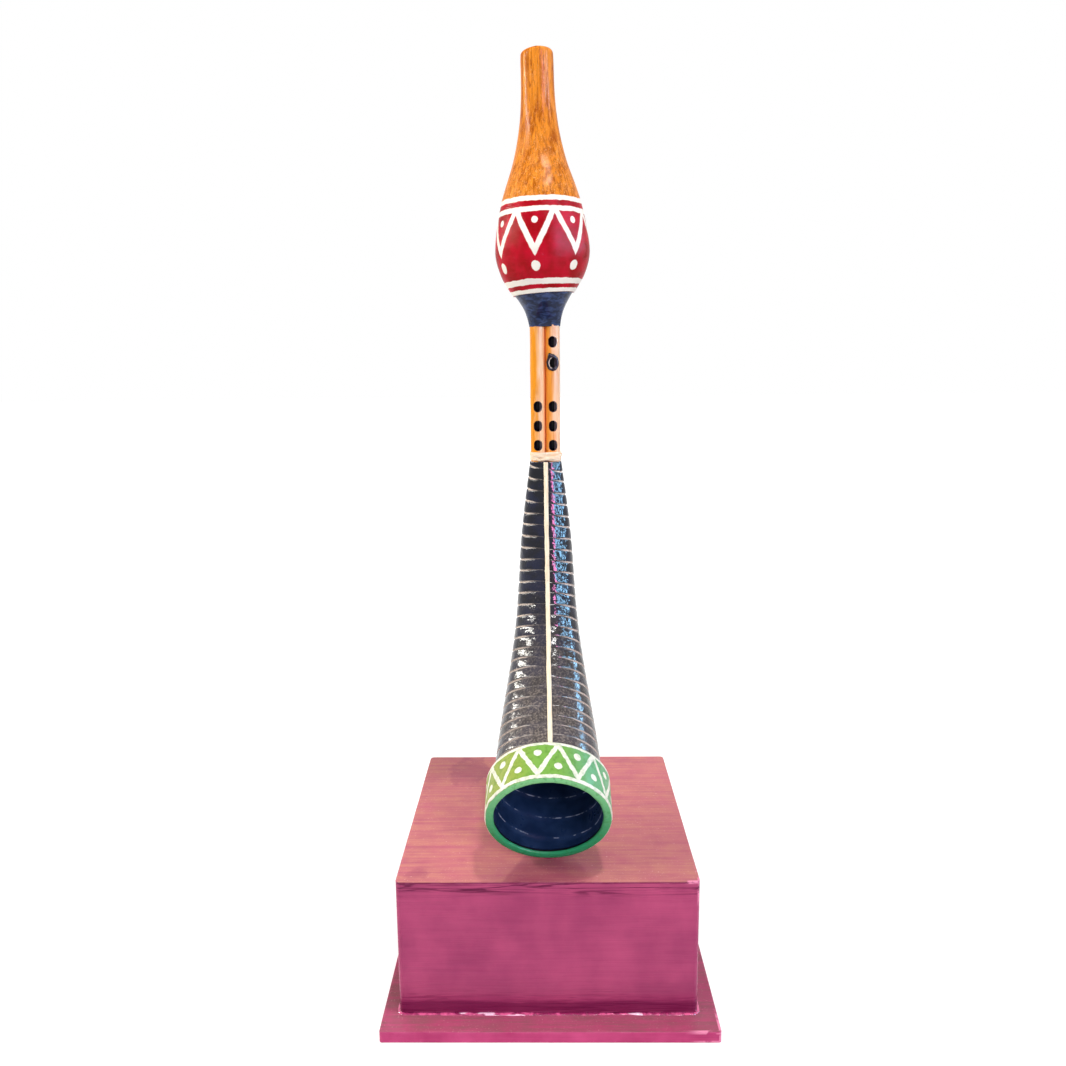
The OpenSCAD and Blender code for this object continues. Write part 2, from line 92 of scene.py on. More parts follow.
def sanded_slab(name, low, high, edge, upright, hollow):
    """A board or block with rounded edges, rounder upright corners, and faces sanded a little hollow."""
    half = (high - low) / 2
    middle = (high + low) / 2
    flats = [h - edge for h in half]
    points, faces, seen = [], [], {}

    def lines(flat):
        count = math.ceil(2 * flat / slab_grid)
        bend = [flat - upright * share for share in corner_stops]
        bend += [flat + edge * share for share in edge_stops]
        stops = [flat * (2 * i / count - 1) for i in range(count + 1)]
        return sorted([-b for b in bend] + stops + bend)

    def drawn_in(spot):
        """Brings a point near an upright corner in, from the square corner to the round one."""
        over = [max(abs(spot[i]) - half[i] + upright, 0.0) / upright for i in (0, 1)]
        for i in (0, 1):
            inner = half[i] - upright
            if over[0] and over[1]:
                drawn = inner + upright * over[i] * math.sqrt(1 - over[1 - i] ** 2 / 2)
                spot[i] = math.copysign(drawn, spot[i])
        return spot

    def corner(spot):
        key = tuple(round(c / (0.01 * mm)) for c in spot)
        if key not in seen:
            core = Vector([max(-f, min(f, c)) for c, f in zip(spot, flats)])
            out = (Vector(spot) - core).normalized()
            sink = hollow * abs(noise.noise(Vector(spot) / hollow_reach))
            seen[key] = len(points)
            points.append(middle + drawn_in(core + out * (edge - sink)))
        return seen[key]

    cuts = [lines(f) for f in flats]
    for axis in range(3):
        u, v = (axis + 1) % 3, (axis + 2) % 3
        for side in (-half[axis], half[axis]):
            for i in range(len(cuts[u]) - 1):
                for k in range(len(cuts[v]) - 1):
                    around = []
                    for a, b in ((i, k), (i + 1, k), (i + 1, k + 1), (i, k + 1)):
                        spot = [0.0, 0.0, 0.0]
                        spot[axis], spot[u], spot[v] = side, cuts[u][a], cuts[v][b]
                        around.append(corner(spot))
                    faces.append(around)
    return new_piece(name, points, faces)


class Amount:
    """A number, colour or place that changes over a surface; sums and products of them become nodes."""

    def __init__(self, socket):
        self.socket = socket
        self.tree = socket.id_data

    def __add__(self, other):
        return maths("ADD", self, other)

    def __sub__(self, other):
        return maths("SUBTRACT", self, other)

    def __rsub__(self, other):
        return maths("SUBTRACT", other, self)

    def __mul__(self, other):
        return maths("MULTIPLY", self, other)

    def __abs__(self):
        return maths("ABSOLUTE", self)

    __radd__ = __add__
    __rmul__ = __mul__

    def into(self, socket):
        self.tree.links.new(self.socket, socket)


def shade(tree, kind, values=None, **settings):
    """Adds a shader node, fills its sockets with values, and gives its outputs by number and by name."""
    made = tree.nodes.new("ShaderNode" + kind)
    for label, value in settings.items():
        setattr(made, label, value)
    for label, value in (values or {}).items():
        if isinstance(value, Amount):
            value.into(made.inputs[label])
        else:
            made.inputs[label].default_value = value
    outputs = {}
    for number, socket in enumerate(made.outputs):
        outputs[number] = outputs[socket.name] = Amount(socket)
    return outputs


def maths(operation, *values):
    tree = [value.tree for value in values if isinstance(value, Amount)][0]
    return shade(tree, "Math", dict(enumerate(values)), operation=operation)[0]


def ramp(value, low, high):
    """A smooth step from 0 at low to 1 at high."""
    ends = {"Value": value, "From Min": low, "From Max": high}
    return shade(value.tree, "MapRange", ends, interpolation_type="SMOOTHSTEP")[0]


def mixed(share, first, second):
    return shade(share.tree, "Mix", {0: share, 6: first, 7: second}, data_type="RGBA")[2]


def split(place):
    return shade(place.tree, "SeparateXYZ", {0: place})


def offset(place, hub):
    """How far a place is from a hub, along each axis."""
    return split(shade(place.tree, "VectorMath", {0: place, 1: hub}, operation="SUBTRACT")[0])


def grain(place, marks, detail=3.0, twist=0.0):
    """Noise whose marks are as long as marks says, on all axes or on each."""
    sizes = marks if isinstance(marks, tuple) else (marks, marks, marks)
    shrink = [1 / size for size in sizes]
    spread = shade(place.tree, "VectorMath", {0: place, 1: shrink}, operation="MULTIPLY")[0]
    values = {"Vector": spread, "Scale": 1.0, "Detail": detail, "Distortion": twist}
    return shade(place.tree, "TexNoise", values)[0]


def effect(name, takes, gives):
    """A node group that several finishes share, with the amounts it takes in and the sockets it fills."""
    group = bpy.data.node_groups.new(name, "ShaderNodeTree")
    for label, kind in takes.items():
        group.interface.new_socket(label, in_out="INPUT", socket_type="NodeSocket" + kind)
    for label, kind in gives.items():
        group.interface.new_socket(label, in_out="OUTPUT", socket_type="NodeSocket" + kind)
    entry = group.nodes.new("NodeGroupInput").outputs
    return group, {label: Amount(entry[label]) for label in takes}, group.nodes.new("NodeGroupOutput").inputs


def placed(group, values):
    """A shared effect put into the finish that its place belongs to, with its own values."""
    return shade(values["Place"].tree, "Group", values, node_tree=group)


def new_finish(name, **sockets):
    """A material with its constant sockets set, its shader and the place on the object in metres."""
    made = bpy.data.materials.new(name)
    made.use_nodes = True
    shader = made.node_tree.nodes["Principled BSDF"]
    for label, value in sockets.items():
        shader.inputs[label.replace("_", " ")].default_value = value
    return made, shader, shade(made.node_tree, "TexCoord")["Object"]


def lay_on(shader, colour, roughness, height, depth):
    """Links a finish's varying colour, roughness and relief to its shader."""
    colour.into(shader.inputs["Base Color"])
    roughness.into(shader.inputs["Roughness"])
    relief = shade(height.tree, "Bump", {"Height": height, "Strength": 1.0, "Distance": depth})[0]
    relief.into(shader.inputs["Normal"])
    relief.into(shader.inputs["Coat Normal"])


settled_dust, taken, given = effect(
    "settled_dust", {"Place": "Vector", "Amount": "Float", "Patches": "Float"}, {"Mask": "Float"})
facing = shade(settled_dust, "NewGeometry")["Normal"]
upward = ramp(split(facing)[2], 0.1, 0.95)
spread = {"Vector": taken["Place"], "Scale": taken["Patches"], "Detail": 4.0}
patchy = shade(settled_dust, "TexNoise", spread)[0]
lying = upward * (patchy + 0.35) * taken["Amount"]
lying.into(given["Mask"])

brush_marks, taken, given = effect("brush_marks", {"Place": "Vector"}, {"Streak": "Float", "Hair": "Float"})
broad = grain(taken["Place"], (38 * mm, 3.6 * mm, 2.6 * mm), twist=0.4)
fine = grain(taken["Place"], (24 * mm, 1.0 * mm, 0.45 * mm))
ramp(broad, 0.3, 0.7).into(given["Streak"])
ramp(fine, 0.3, 0.7).into(given["Hair"])

# The stand's paint: marks gives where it is darkest, painted shade and shadow among them, and where little
# dust lies
stand_rubbed = tint(250, 150, 190)
stand_fleck = tint(244, 196, 198)
stand_dark_paint_and_shade = tint(104, 14, 64)


def stand_paint(name, box, paints, dust_amount, dust, marks=None):
    made, shader, place = new_finish(name, Specular_IOR_Level=0.05, Coat_Weight=0.25, Coat_Roughness=0.14)
    brushed = placed(brush_marks, {"Place": place})
    clouds = grain(place, (13 * mm, 13 * mm, 17 * mm), detail=4.0)
    tones = ramp(clouds, 0.25, 0.75) * 0.7 + (brushed["Hair"] + brushed["Streak"]) * 0.12
    colour = mixed(tones, *paints)
    dusted = placed(settled_dust, {"Place": place, "Amount": dust_amount, "Patches": 160.0})[0]
    lying = dusted * (brushed["Hair"] * 0.42 + brushed["Streak"] * 0.22 + 0.5)
    if marks:
        dark, undusted_and_shadowed = marks(place)
        colour = mixed(dark, colour, stand_dark_paint_and_shade)
        lying = lying * (1.0 - undusted_and_shadowed * 0.42)
    colour = mixed(lying, colour, dust)
    spot = offset(place, (box[0] + box[1]) / 2)
    near = 0.0
    for axis, reach in enumerate((box[1] - box[0]) / 2):
        near = near + ramp(abs(spot[axis]), reach - 1.2 * mm, reach - 0.3 * mm)
    corner = (box[1].x, box[0].y, box[1].z)
    away = shade(place.tree, "VectorMath", {0: place, 1: corner}, operation="DISTANCE")["Value"]
    at_corner = ramp(away, 12 * mm, 6 * mm)
    knocks = grain(place, (5 * mm, 5 * mm, 3 * mm), detail=7.0)
    knocks = ramp(at_corner * 0.06 + knocks, 0.47, 0.57) * (at_corner * 0.75 + 0.05)
    colour = mixed(ramp(near, 1.2, 1.6) * knocks, colour, stand_rubbed)
    flecks = ramp(grain(place, 0.45 * mm, detail=1.0), 0.68, 0.78)
    colour = mixed(flecks * maths("MINIMUM", lying * 0.7, 0.5), colour, stand_fleck)
    roughness = lying * 0.4 + brushed["Streak"] * 0.1 + 0.24
    height = brushed["Hair"] * 0.4 + brushed["Streak"]
    lay_on(shader, colour, roughness, height, 0.035 * mm)
    return made


plinth_low, plinth_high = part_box("plinth_board")
plinth = sanded_slab("plinth", plinth_low, plinth_high, plinth_edge, plinth_corner, plinth_hollow)
# The plinth's paint is the block's made brighter: painted light for its edges, which get little light near
# the floor
plinth_paints_brightened = (tint(184, 54, 110), tint(226, 88, 146))
plinth_finish = stand_paint("plinth_paint", (plinth_low, plinth_high), plinth_paints_brightened, 1.1, tint(148, 83, 99))
dress(plinth, "stand_paint", ["plinth_board"], plinth_finish)

# Pedestal block
# A square offcut of soft wood whose grain runs left to right, rounded by hand and painted like the plinth.
# Paint has sagged down its sides; the darker band along its foot is painted reflection and shade.
# # Below the bell, painted shadow is darker paint with less dust; a stain and a patch on its top have less
# dust too.
block_edge = 0.35 * mm
block_corner = 1.8 * mm
block_hollow = 0.08 * mm
foot_band = 4.9 * mm
sag_drop = 6.5 * mm
wave_height = 3.2 * mm
bell_shadow_flare = 0.42
bell_setback = 14.6 * mm
block_low, block_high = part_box("pedestal_block")
bell_line = block_low.y + bell_setback
# Each stain and patch: its middle, how far it is squeezed sideways, its reach and how far its edge frays
front_stain = (block_low.x + 6 * mm, block_low.y + 5 * mm, 0.8, 8 * mm, 9 * mm)
back_dark_patch = (block_low.x + 18 * mm, block_high.y - 15 * mm, 1.6, 22 * mm, 18 * mm)


def either(*masks):
    joined = masks[0]
    for mask in masks[1:]:
        joined = maths("MAXIMUM", joined, mask)
    return joined


def span(aside, along):
    """How far off a spot is that lies aside by one length and along by another."""
    return maths("SQRT", aside * aside + along * along)


def less_dust_and_painted_shadow(place, spot):
    """Where the block's top has less dust: a stain, a darker patch, and painted shadow that narrows back
    below the bell.
    """
    blot = grain(place, 5 * mm, detail=4.0)
    undusted_and_shadowed = []
    for x, y, squeeze, reach, fray in (front_stain, back_dark_patch):
        off = span((spot[0] - x) * squeeze, spot[1] - y) + blot * fray
        undusted_and_shadowed.append(ramp(off, reach + 2 * mm, reach - mm) * 0.8)
    # Below the bell the paint is darker with less dust: painted shadow, widening towards the front edge
    flare = (spot[1] - bell_line) * bell_shadow_flare + abs(spot[0])
    painted_bell_shadow = ramp(flare, 10.2 * mm, 8.4 * mm) * ramp(spot[0], 20 * mm, 2 * mm)
    undusted_and_shadowed.append(painted_bell_shadow * ramp(spot[1], bell_line + 16 * mm, bell_line + 8 * mm))
    return either(*undusted_and_shadowed)


def block_marks(place):
    """Dark marks: wavy sags and a foot band of painted reflection and shade; and the top's undusted, shadowed
    places.
    """
    spot = split(place)
    on_sides = ramp(spot[2], block_high.z - 0.3 * mm, block_high.z - 0.5 * mm)
    wavy = grain(place, (24 * mm, 24 * mm, 3 * mm), detail=4.0)
    level = spot[2] - wavy * wave_height
    runs = grain(place, (15 * mm, 15 * mm, 0.45 * mm), twist=0.6)
    streaked = ramp(runs, 0.5, 0.62)
    # The foot band, the streaks fading above it and the darkening low down are painted reflection and shade
    band_top = block_low.z + foot_band - wave_height / 2
    foot_painted_shade = ramp(runs * (3 * mm) + level, band_top + 2.2 * mm, band_top + 0.6 * mm)
    foot_painted_shade = foot_painted_shade * (streaked * 0.16 + 0.76)
    low_runs = streaked * ramp(level, band_top + 7 * mm, band_top) * 0.6
    dim = ramp(level, block_low.z + 15 * mm, block_low.z + 3 * mm) * 0.22
    sag_top = block_high.z - wave_height / 2
    under_top = ramp(level, sag_top - sag_drop, sag_top - 0.3 * sag_drop)
    waves = grain(place, (34 * mm, 34 * mm, 2.6 * mm), detail=2.5, twist=0.5)
    waves = ramp(abs(waves - 0.5), 0.06, 0.015)
    sags = (streaked * 0.5 + waves * 0.75) * under_top * on_sides
    front_edge = ramp(spot[1], block_low.y + 0.5 * mm, block_low.y + 0.3 * mm)
    front_edge = front_edge * ramp(spot[2], block_high.z - 0.9 * mm, block_high.z - 0.4 * mm)
    undusted_and_shadowed = less_dust_and_painted_shadow(place, spot) * (1.0 - on_sides)
    return either(foot_painted_shade, low_runs, dim, sags, front_edge * 0.8, undusted_and_shadowed * 0.36), undusted_and_shadowed


block = sanded_slab("block", block_low, block_high, block_edge, block_corner, block_hollow)
block_paints = (tint(162, 58, 105), tint(197, 80, 126))
block_box = (block_low, block_high)
block_finish = stand_paint("block_paint", block_box, block_paints, 1.0, tint(203, 129, 121), block_marks)
dress(block, "stand_paint", ["pedestal_block"], block_finish)

# Glue bead round the block's foot
# Glue squeezed out when the block was pressed down, smoothed with a finger and painted over.
# It dried unevenly, so it swells and thins along the joint and shines more than the boards.
bead_step = 0.9 * mm
bead_width = 1.4 * mm
bead_height = 0.5 * mm
bead_clear = 0.04 * mm
long_swell = 11 * mm
short_swell = 2.6 * mm


def skin(name, rings, along=None, across=None, loop=False, caps=True, sharp=45):
    """Rings of points joined in turn. The wrap map has across, or the share round a ring, and along."""
    count, sides = len(rings), len(rings[0])
    faces, wraps = [], []
    turn = across or [k / sides for k in range(sides)]
    turn = turn + [turn[0] if across else 1.0]
    for i in range(count if loop else count - 1):
        j = (i + 1) % count
        for k in range(sides):
            q = (k + 1) % sides
            faces.append((i * sides + k, i * sides + q, j * sides + q, j * sides + k))
            if along:
                wraps += [(turn[k], along[i]), (turn[k + 1], along[i])]
                wraps += [(turn[k + 1], along[j]), (turn[k], along[j])]
    if caps and not loop:
        for i in (0, count - 1):
            faces.append(tuple(i * sides + k for k in range(sides)))
            wraps += [(turn[k], along[i]) for k in range(sides)] if along else []
    return new_piece(name, [p for ring in rings for p in ring], faces, wraps, sharp)


def block_outline(step):
    """Points and outward directions round the block's foot, with rounded corners."""
    reach = (block_high - block_low) / 2
    middle = (block_high + block_low) / 2
    stops = []
    for quarter in range(4):
        out = Vector((math.cos(quarter * math.pi / 2), math.sin(quarter * math.pi / 2), 0))
        side = Vector((-out.y, out.x, 0))
        flat = (reach.x if quarter % 2 else reach.y) - block_corner
        deep = reach.x if quarter % 2 == 0 else reach.y
        count = round(2 * flat / step)
        for i in range(count + 1):
            stops.append((middle + out * deep + side * flat * (2 * i / count - 1), out))
        hub = middle + out * (deep - block_corner) + side * flat
        for degrees in (22.5, 45, 67.5):
            swing = math.radians(degrees)
            way = out * math.cos(swing) + side * math.sin(swing)
            stops.append((hub + way * block_corner, way))
    return stops


bead_rings = []
for spot, out in block_outline(bead_step):
    swell = noise.noise(spot / long_swell) + 0.5 * noise.noise(spot / short_swell)
    wide = bead_width * min(1.0, 0.68 + 0.42 * swell)
    tall = bead_height * min(1.0, 0.66 + 0.5 * swell)
    foot = Vector((spot.x, spot.y, plinth_high.z)) + out * bead_clear
    ring = [foot]
    for degrees in range(0, 91, 15):
        bow = math.radians(degrees)
        ring.append(foot + out * wide * math.cos(bow) + Vector((0, 0, tall * math.sin(bow))))
    bead_rings.append(ring)

bead_pink = tint(228, 92, 150)
bead_dark = tint(138, 22, 80)
bead_painted_highlight = tint(252, 206, 234)
bead_finish, shader, place = new_finish("bead_paint", Coat_Weight=0.6, Coat_Roughness=0.06)
lumps = grain(place, (2.2 * mm, 2.2 * mm, 1.2 * mm))
sideways = split(place)[0]
# Pale streaks along the bead's front left are a painted highlight
rubbed_and_highlit = ramp(sideways, -37 * mm, -29 * mm) * ramp(sideways, -2 * mm, -10 * mm)
patches = grain(place, (9 * mm, 9 * mm, 1.1 * mm), detail=4.0, twist=0.3)
painted_highlight = ramp(rubbed_and_highlit * 0.14 + patches, 0.57, 0.63)
colour = mixed(ramp(lumps, 0.35, 0.65), bead_dark, bead_pink)
colour = mixed(painted_highlight, colour, bead_painted_highlight)
lay_on(shader, colour, ramp(lumps, 0.9, -0.6), lumps, 0.25 * mm)
dress(skin("foot_glue", bead_rings, loop=True), "glue_line", ["foot_bead"], bead_finish)

# Horn lining
# A cone of dried leaf rolled on a former and bent while damp, its laps forming ring ledges inside.
# The inside is flooded with glossy blue-black lacquer; outside, its pale skin shows between the turns.
horn_len = 135.6 * mm
bell_tilt = math.radians(64.4)
bend_power = 1.2
hoop_r = 21.1 * mm
hoop_lip = 1.5 * mm
fit_gap = 0.05 * mm
horn_top_half = (5.905 * mm, 4.384 * mm)
oval_len = 45 * mm
leaf_len = horn_len - hoop_lip
wall = 1.28 * mm
wall_top = 0.68 * mm
strip_t = 0.4 * mm
strip_top_t = 0.26 * mm
strip_bed = 0.03 * mm
thicken_len = 16 * mm
ledge_pitch = 6.4 * mm
ledge_rise = 0.42 * mm


def smooth_curve(stops):
    """The smooth curve through points (x, y) that the solids follow, as a function of x."""
    last = len(stops) - 1

    def slope(i):
        before, after = stops[max(i - 1, 0)], stops[min(i + 1, last)]
        return (after[1] - before[1]) / (after[0] - before[0])

    def height(x):
        i = 0
        while i < last - 1 and x > stops[i + 1][0]:
            i += 1
        width = stops[i + 1][0] - stops[i][0]
        t = (x - stops[i][0]) / width
        rise = 3 * t * t - 2 * t ** 3
        start, end = (t ** 3 - 2 * t * t + t) * slope(i), (t ** 3 - t * t) * slope(i + 1)
        return (1 - rise) * stops[i][1] + rise * stops[i + 1][1] + width * (start + end)

    return height


def share_of(value, low, high):
    """How far a value has come from low to high, from 0 to 1."""
    return min(max((value - low) / (high - low), 0.0), 1.0)


def ease(t):
    return t * t * (3 - 2 * t)


horn_outline = smooth_curve([
    (0, horn_top_half[0]), (27 * mm, 9.3 * mm), (61 * mm, 11.7 * mm), (105 * mm, 17.35 * mm),
    (horn_len, 19.6 * mm)])


def horn_half(s, inset=0.0):
    """The horn's half-width and half-depth at the distance s down its axis."""
    wide = horn_outline(s)
    oval = (horn_top_half[0] - horn_top_half[1]) * ease(1 - share_of(s, 0, oval_len))
    return wide - inset, wide - oval - inset


def tilt(s):
    return bell_tilt * share_of(s, 0, horn_len) ** bend_power


def frontward(s):
    return Vector((0, -math.cos(tilt(s)), math.sin(tilt(s))))


axis_steps = 90
axis_step = horn_len / axis_steps
axis_walk = [Vector((0, 0, 0))]
for i in range(axis_steps):
    lean = tilt((i + 0.5) * axis_step)
    axis_walk.append(axis_walk[-1] + axis_step * Vector((0, -math.sin(lean), -math.cos(lean))))
bell_seat = Vector((0, bell_line, block_high.z + fit_gap))
bell_mouth = bell_seat + hoop_r * Vector((0, -math.cos(bell_tilt), math.sin(bell_tilt)))
horn_top = bell_mouth - axis_walk[-1]


def round_horn(s, half, angle):
    """A point round the horn; the angle starts at the front and grows to the right."""
    k = share_of(s, 0, horn_len) * axis_steps
    i = min(int(k), axis_steps - 1)
    middle = horn_top + axis_walk[i].lerp(axis_walk[i + 1], k - i)
    return middle + Vector((half[0] * math.sin(angle), 0, 0)) + half[1] * math.cos(angle) * frontward(s)


def strip_depth(s):
    return strip_top_t + (strip_t - strip_top_t) * share_of(s, 0, thicken_len)


def ledge(s, angle):
    """How far a lap of the rolled leaf stands into the bore; each lap ends in a step that faces the mouth."""
    lap = (s / ledge_pitch + angle / math.tau) % 1.0
    rise = lap / 0.9 if lap < 0.9 else (1 - lap) / 0.1
    worn = noise.noise(Vector((s / (9 * mm), 2 * math.sin(angle), 2 * math.cos(angle))))
    return ledge_rise * ease(rise) * (0.75 + 0.5 * worn)


lining_sides = 96
lining_steps = 190
lining_rings, lining_along = [], []
turns = [k * math.tau / lining_sides for k in range(lining_sides)]
for i in range(lining_steps + 1):
    s = leaf_len * i / lining_steps
    lining_rings.append([round_horn(s, horn_half(s, strip_depth(s) + strip_bed), a) for a in turns])
    lining_along.append(s / mm)
for i in range(lining_steps, -1, -1):
    s = leaf_len * i / lining_steps
    inset = wall_top + (wall - wall_top) * share_of(s, 0, thicken_len)
    lining_rings.append([round_horn(s, horn_half(s, inset + ledge(s, a)), a) for a in turns])
    lining_along.append(s / mm)
lining = skin("lining", lining_rings, lining_along, loop=True)
outer_faces = lining_steps * lining_sides
for index, face in enumerate(lining.data.polygons):
    face.material_index = 0 if index < outer_faces else 1

wet_lumps, taken, given = effect(
    "wet_lumps", {"Place": "Vector", "Size": "Float"}, {"Height": "Float", "Tone": "Float"})
small = {"Vector": taken["Place"], "Scale": taken["Size"], "Detail": 1.2, "Distortion": 0.8}
large = {"Vector": taken["Place"], "Scale": taken["Size"] * 0.3, "Detail": 2.0}
wrinkled = shade(wet_lumps, "TexNoise", small)[0]
pooled = shade(wet_lumps, "TexNoise", large)[0]
lumpy = (pooled * 1.3 + wrinkled) * 0.45
lumpy.into(given["Height"])
ramp(pooled, 0.35, 0.65).into(given["Tone"])

lacquer_black = tint(6, 8, 22)
lacquer_blue = tint(14, 20, 48)
leaf_pale = tint(232, 220, 212)
leaf_stained = tint(150, 134, 126)


def wrap_map(place):
    return split(shade(place.tree, "UVMap", uv_map="wrap")[0])


def off_front(turn):
    """How far round from the horn's front, 0 at the front to 0.5 at the back, from a share of a turn."""
    return maths("PINGPONG", turn, 0.5)


pale_finish, shader, place = new_finish("pale_lining", Specular_IOR_Level=0.2)
round_map = wrap_map(place)
smears = grain(place, 4 * mm, detail=4.0)
clean = ramp(smears * 0.2 + off_front(round_map[0]), 0.14, 0.24)
fibres = grain(place, 0.5 * mm)
paleness = mixed(ramp(fibres, 0.3, 0.7), tint(198, 182, 172), leaf_pale)
lay_on(shader, mixed(clean, leaf_stained, paleness), ramp(fibres, -0.6, 1.6), fibres, 0.05 * mm)

inside_finish, shader, place = new_finish(
    "inside_lacquer", Specular_IOR_Level=0.2, Coat_Weight=0.6, Coat_Roughness=0.05)
inside_map = wrap_map(place)
lumps = placed(wet_lumps, {"Place": place, "Size": 420.0})
colour = mixed(lumps["Tone"], tint(19, 41, 77), tint(35, 56, 95))
# Pale broken dashes on the crests of the ledges are painted highlights
lap = maths("FRACT", inside_map[1] * (mm / ledge_pitch) + inside_map[0])
painted_crest_highlight = ramp(abs(lap - 0.9), 0.035, 0.012)
highlight_breaks = ramp(grain(place, 3 * mm, detail=4.0), 0.48, 0.62)
colour = mixed(painted_crest_highlight * (highlight_breaks * 0.8), colour, tint(170, 180, 206))
lay_on(shader, colour, ramp(lumps["Height"], 1.6, -1.2), lumps["Height"], 0.15 * mm)
dress(lining, "lining_leaf", ["horn_lining"], pale_finish, inside_finish)

# Wound leaf strips
# Six long strips of leaf wound edge to edge round the lining from the pipes down to the bell.
# Brushed black lacquer has filled them and wrinkled; their cut edges are rubbed pale, and dust lies low down.
leaf_pitch = 4.4 * mm
leaf_gap = 0.5 * mm
strip_count = 6
turn_steps = 72
least_width = 0.6 * mm
strip_joint = 0.25
edge_wander = 0.4 * mm
wind_wander = 0.9 * mm
crown = 0.08 * mm
lap_lift = 0.03 * mm
edge_dip = 0.12 * mm
leaf_wrinkle = 0.05 * mm
strip_places = (0.0, 0.03, 0.1, 0.28, 0.5, 0.72, 0.9, 0.97, 1.0)


def groove(turn):
    """Where the groove below a turn lies down the horn; hand winding lets it wander."""
    swing = Vector((1.3 * math.sin(turn * math.tau), 1.3 * math.cos(turn * math.tau), 0.9 * turn))
    slow = wind_wander * math.sin(2.1 * turn) * noise.noise(Vector((0.8 * turn, 5, 0)))
    return leaf_pitch * turn + edge_wander * noise.noise(swing) + slow


def strip_ring(turn):
    """The points round the winding's section at a turn, counted from the back of the horn's top."""
    angle = math.pi + turn * math.tau
    side = ease(share_of(abs(math.sin(angle / 2)), 0.08, 0.45))
    gap = leaf_gap * (0.04 + 0.96 * side)
    high = max(groove(turn - 1) + gap, 0.0)
    low = min(groove(turn), leaf_len)
    ring = []
    for share in strip_places:
        s = high + (low - high) * share
        lift = crown * (1 - (2 * share - 1) ** 4) - crown + lap_lift * (2 * share - 1)
        lift += leaf_wrinkle * noise.noise(Vector((turn * 30, share * 2, 0)))
        if share in (0.0, 1.0):
            lift -= edge_dip * (0.15 + 0.85 * side)
        ring.append(round_horn(s, horn_half(s, -lift), angle))
    for s in (low, high):
        ring.append(round_horn(s, horn_half(s, strip_depth(s)), angle))
    return ring


lacquer, shader, place = new_finish(
    "leaf_lacquer", Specular_IOR_Level=0.02, Coat_Weight=0.6, Coat_Roughness=0.08)
wound_map = wrap_map(place)
lumps = placed(wet_lumps, {"Place": place, "Size": 520.0})
colour = mixed(lumps["Tone"], lacquer_black, lacquer_blue)
dusted = placed(settled_dust, {"Place": place, "Amount": 0.85, "Patches": 420.0})[0]
gritty = ramp(grain(place, 0.7 * mm, detail=4.0), 0.42, 0.7)
low_down = ramp(split(place)[2], horn_top.z - 35 * mm, horn_top.z - 95 * mm)
dusted = dusted * (gritty * 0.8 + 0.35) * (low_down * 0.85 + 0.15)
colour = mixed(dusted, colour, tint(148, 136, 128))
sideways = abs(maths("FRACT", wound_map[1]) - 0.5)
rubbed_and_highlit = grain(place, 2.6 * mm, detail=5.0)
at_edge = ramp(abs(wound_map[0] - 0.5), 0.455, 0.49)
at_side = ramp(sideways + rubbed_and_highlit * 0.3 + low_down * 0.05, 0.2, 0.32) * 0.9 + 0.1
colour = mixed(at_edge * at_side * 0.85, colour, leaf_pale)
roughness = dusted * 0.45 + rubbed_and_highlit * 0.12 + 0.16
height = gritty * dusted * 0.12 + lumps["Height"]
lay_on(shader, colour, roughness, height, 0.26 * mm)

first_turn = least_width / leaf_pitch
last_turn = (leaf_len + leaf_pitch - leaf_gap - least_width) / leaf_pitch
strip_turns = (last_turn - first_turn) / strip_count
for index in range(strip_count):
    start = first_turn + index * strip_turns
    ends = (start + strip_joint / turn_steps, start + strip_turns - strip_joint / turn_steps)
    count = math.ceil((ends[1] - ends[0]) * turn_steps)
    along = [ends[0] + (ends[1] - ends[0]) * i / count for i in range(count + 1)]
    across = list(strip_places) + [1.0, 0.0]
    strip = skin("leaf_%d" % (index + 1), [strip_ring(t) for t in along], along, across)
    dress(strip, "leaf_lacquer", ["leaf_strip_%d" % (index + 1)], lacquer)

# Bamboo splint
# A thin split of bare bamboo laid down the front of the horn to stiffen it.
# The lashing grips its upper end and the hoop its lower end; lacquer has spotted its sides.
splint_half = 0.8 * mm
splint_t = 0.7 * mm
splint_drift = 0.8 * mm
splint_sway = 0.14 * mm
splint_lift = 0.06 * mm
splint_foot = 116.7 * mm
splint_section = ((-1, 0), (-1, 0.45), (-0.86, 0.8), (-0.45, 1), (0.45, 1), (0.86, 0.8), (1, 0.45), (1, 0))
splint_steps = 90
splint_rings = []
for i in range(splint_steps + 1):
    s = splint_foot * i / splint_steps
    sway = splint_drift * i / splint_steps + splint_sway * noise.noise(Vector((s / (15 * mm), 3, 0)))
    half = splint_half * (1 + 0.14 * noise.noise(Vector((s / (5 * mm), 7, 0))))
    base = round_horn(s, horn_half(s, -splint_lift), 0.0) + Vector((sway, 0, 0))
    out = frontward(s) * splint_t
    splint_rings.append([base + Vector((half * x, 0, 0)) + out * y for x, y in splint_section])

bare_bamboo, shader, place = new_finish("bare_bamboo", Specular_IOR_Level=0.12)
threads = grain(place, (0.25 * mm, 4 * mm, 9 * mm), detail=4.0)
spots = ramp(grain(place, 1.1 * mm, detail=4.0), 0.66, 0.74)
colour = mixed(ramp(threads, 0.3, 0.7), tint(240, 218, 186), tint(255, 246, 226))
colour = mixed(spots * 0.55, colour, tint(84, 62, 46))
lay_on(shader, colour, ramp(threads, -1.2, 1.8), threads, 0.1 * mm)
dress(skin("splint", splint_rings), "splint_bamboo", ["horn_splint"], bare_bamboo)

